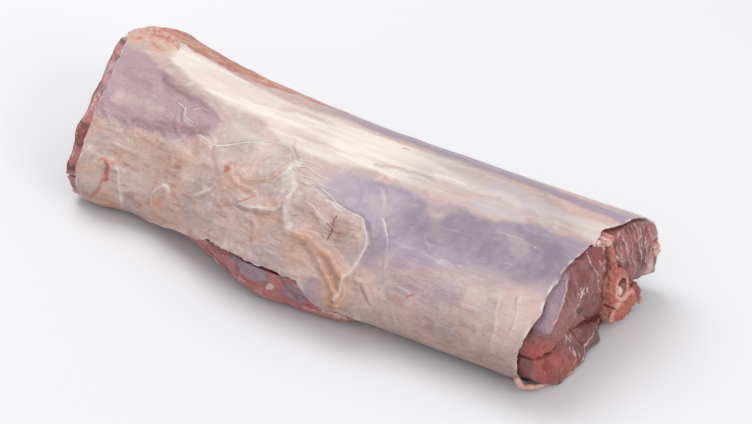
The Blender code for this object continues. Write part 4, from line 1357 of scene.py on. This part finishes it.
strandWidths = {"fan": 0.4, "fold": 0.38, "rim": 0.36, "vessel": 0.26}
paleStrands = [(onMembrane(path, 0.1), strandWidths["fan"], 0.2) for path in fans]
paleStrands += [
    (onMembrane(foldTop, 0.0), strandWidths["fold"], 0.5),
    (onMembrane(((-28, -70), (-22, -70.5), (-16, -69.5), (-8, -67)), 0.0), strandWidths["fold"], 0.2),
    (onMembrane(lobeHollow, 0.0), 0.4, 0.2),
    (onMembrane(lobeRim[4:11], 0.0), strandWidths["rim"], 0.4),
    (onMembrane(((24, -50.5), (32, -53), (36, -53.5)), 0.1), 0.4, 0.2),
    (onMembrane(lobeTail, 0.05), 0.45, 0.2),
    (onMembrane(upperWrinkle, 0.0), 0.35, 0.2),
]
tubes("paleStrands", paleStrands, membraneMaterial, {"white": 0.85})
tubes("vessel", [
    (onMembrane(((31, -70.5), (31.5, -65), (29.5, -60), (30, -57)), 0.15), strandWidths["vessel"], 0.2),
    (onMembrane(((31.5, -65), (34, -65.5), (37, -65)), 0.1), 0.24, 0.12),
    (onMembrane(((27, -63), (29.5, -64), (31.5, -65)), 0.1), 0.12, 0.24),
], meatMaterial, {"bright": 1.0, "dark": 0.3})
lowCurl = np.array(curved((
    (151, -46, 13), (153, -43.5, 7.5), (157, -38.5, 4.6), (160.5, -32, 3.5), (163.5, -25, 2.9),
    (166, -18, 2.7), (168, -11, 3.2),
)))
lowCurl += np.stack([0.8 * grain(lowCurl[:, 0], lowCurl[:, 1], 3.0, 90.0 + k) for k in range(3)], axis=1)
tubes("lowCurl", [(lowCurl, 1.9, 0.9)], fatMaterial, {"pink": 0.5})


crumbs = random.Random(7)
ridgeCrumbs = [
    ((157.5 + crumbs.uniform(0, 3.5), 18.5 + k * 0.8 + crumbs.uniform(-1, 1),
      62.3 - k * 0.42 + crumbs.uniform(-1.4, 0.8)),
     (crumbs.uniform(1.0, 1.9), crumbs.uniform(1.0, 2.0), crumbs.uniform(0.9, 1.6)),
     k * 1.7, 0.45, (0, 0, k), 3)
    for k in range(13)
]
lumpsPiece("ridgeCrumbs", ridgeCrumbs, fatMaterial, 0.35)
lowKnobs = [
    ((1.6, -53.6, 13.4), (2.6, 2.2, 3.6), 1.0, 0.45, (0.2, 0.3, 0.0)),
    ((0.2, -53.8, 8.6), (1.8, 1.5, 2.2), 2.0, 0.5, (0.0, 0.0, 0.4)),
    ((7.6, -53.2, 10.6), (1.4, 1.3, 3.0), 3.0, 0.5, (0.3, 0.0, 0.0)),
    ((3.4, -54.0, 16.4), (2.8, 1.6, 1.6), 4.0, 0.4, (0.0, 0.2, 0.0)),
    ((37.0, -50.6, 10.4), (4.2, 1.8, 1.9), 5.0, 0.5, (0.0, 0.1, 0.1)),
    ((44.0, -49.4, 9.4), (4.6, 1.5, 1.3), 6.0, 0.5, (0.0, 0.05, 0.15)),
    ((41.0, -51.0, 15.4), (5.0, 1.9, 1.6), 7.0, 0.4, (0.0, -0.5, 0.0)),
]
lumpsPiece("lowEdgeFat", lowKnobs, fatMaterial, 0.55)
lumpsPiece("farLoinTag", [
    ((168.5, 71.5, 33.0), (3.4, 3.6, 5.0), 11.0, 0.45, (0.3, 0.0, 0.2)),
    ((169.5, 74.5, 27.0), (2.4, 2.6, 3.4), 12.0, 0.5, (0.0, 0.4, 0.0)),
    ((167.0, 73.0, 38.5), (2.2, 2.8, 2.0), 13.0, 0.5, (0.0, 0.0, 0.5)),
], fatMaterial, 0.9)
lumpsPiece("redLump", [
    ((169.5, 50.0, 14.5), (4.2, 3.6, 8.0), 14.0, 0.35, (0.45, 0.0, 0.0)),
], meatMaterial)
lumpsPiece("lumpTag", [
    ((171.0, 54.0, 7.0), (2.2, 2.2, 3.0), 15.0, 0.4, (0.4, 0.0, 0.0)),
], fatMaterial, 0.5)
print("scraps made")


# Floor, light and camera

studio = {
    "floor": (243, 243, 246),
    "world": 0.76,
    "lamps": (
        # name, place, size, power
        ("key", (-0.6, 0.2, 1.3), 1.0, 10.6),
        ("side", (1.35, -0.3, 0.75), 0.9, 8.0),
        ("front", (0.1, -1.4, 0.9), 1.2, 1.2),
    ),
    "azimuth": 33.5,
    "elevation": 36.0,
    "target": (0.022397, 0.001736, 0.0279),
    "away": 1010.0 * unit,
    "imageWidth": 752.0,  # in pixels, as the two below
    "focal": 1800.0,
    "shift": 10.0,
    "sensor": 36.0,
}


def makeFloor():
    bm = bmesh.new()
    bmesh.ops.create_grid(bm, x_segments=2, y_segments=2, size=3.0)
    mesh = bpy.data.meshes.new("floor")
    bm.to_mesh(mesh)
    bm.free()
    floor = bpy.data.objects.new("floor", mesh)
    bpy.context.scene.collection.objects.link(floor)
    finish = {"Base Color": tint(*studio["floor"]), "Roughness": 0.6, "Specular IOR Level": 0.3}
    mesh.materials.append(Surface("pale floor", {}, finish).material)


def makeLamp(name, place, size, power):
    light = bpy.data.lights.new(name, "AREA")
    light.shape, light.size, light.energy = "DISK", size, power
    lamp = bpy.data.objects.new(name, light)
    bpy.context.scene.collection.objects.link(lamp)
    lamp.location = place
    lamp.rotation_euler = Vector(place).to_track_quat("Z", "Y").to_euler()


def makeCamera():
    azimuth, elevation = math.radians(studio["azimuth"]), math.radians(studio["elevation"])
    level = math.cos(elevation)
    back = Vector((math.sin(azimuth) * level, -math.cos(azimuth) * level, math.sin(elevation)))
    data = bpy.data.cameras.new("camera")
    data.sensor_width = studio["sensor"]
    data.lens = studio["focal"] / studio["imageWidth"] * studio["sensor"]
    data.shift_x = studio["shift"] / studio["imageWidth"]
    data.clip_start, data.clip_end = 0.02, 20.0
    camera = bpy.data.objects.new("camera", data)
    bpy.context.scene.collection.objects.link(camera)
    camera.location = Vector(studio["target"]) + back * studio["away"]
    camera.rotation_euler = back.to_track_quat("Z", "Y").to_euler()
    bpy.context.scene.camera = camera


makeFloor()
for lampName, lampPlace, lampSize, lampPower in studio["lamps"]:
    makeLamp(lampName, lampPlace, lampSize, lampPower)
# keeps the pale fat near white, as the camera saw it
bpy.context.scene.view_settings.view_transform = "Standard"
world = bpy.context.scene.world or bpy.data.worlds.new("studio")
bpy.context.scene.world = world
world.use_nodes = True
background = world.node_tree.nodes["Background"]
background.inputs["Color"].default_value = (1.0, 1.0, 1.0, 1.0)
background.inputs["Strength"].default_value = studio["world"]
makeCamera()
print("floor, light and camera made")
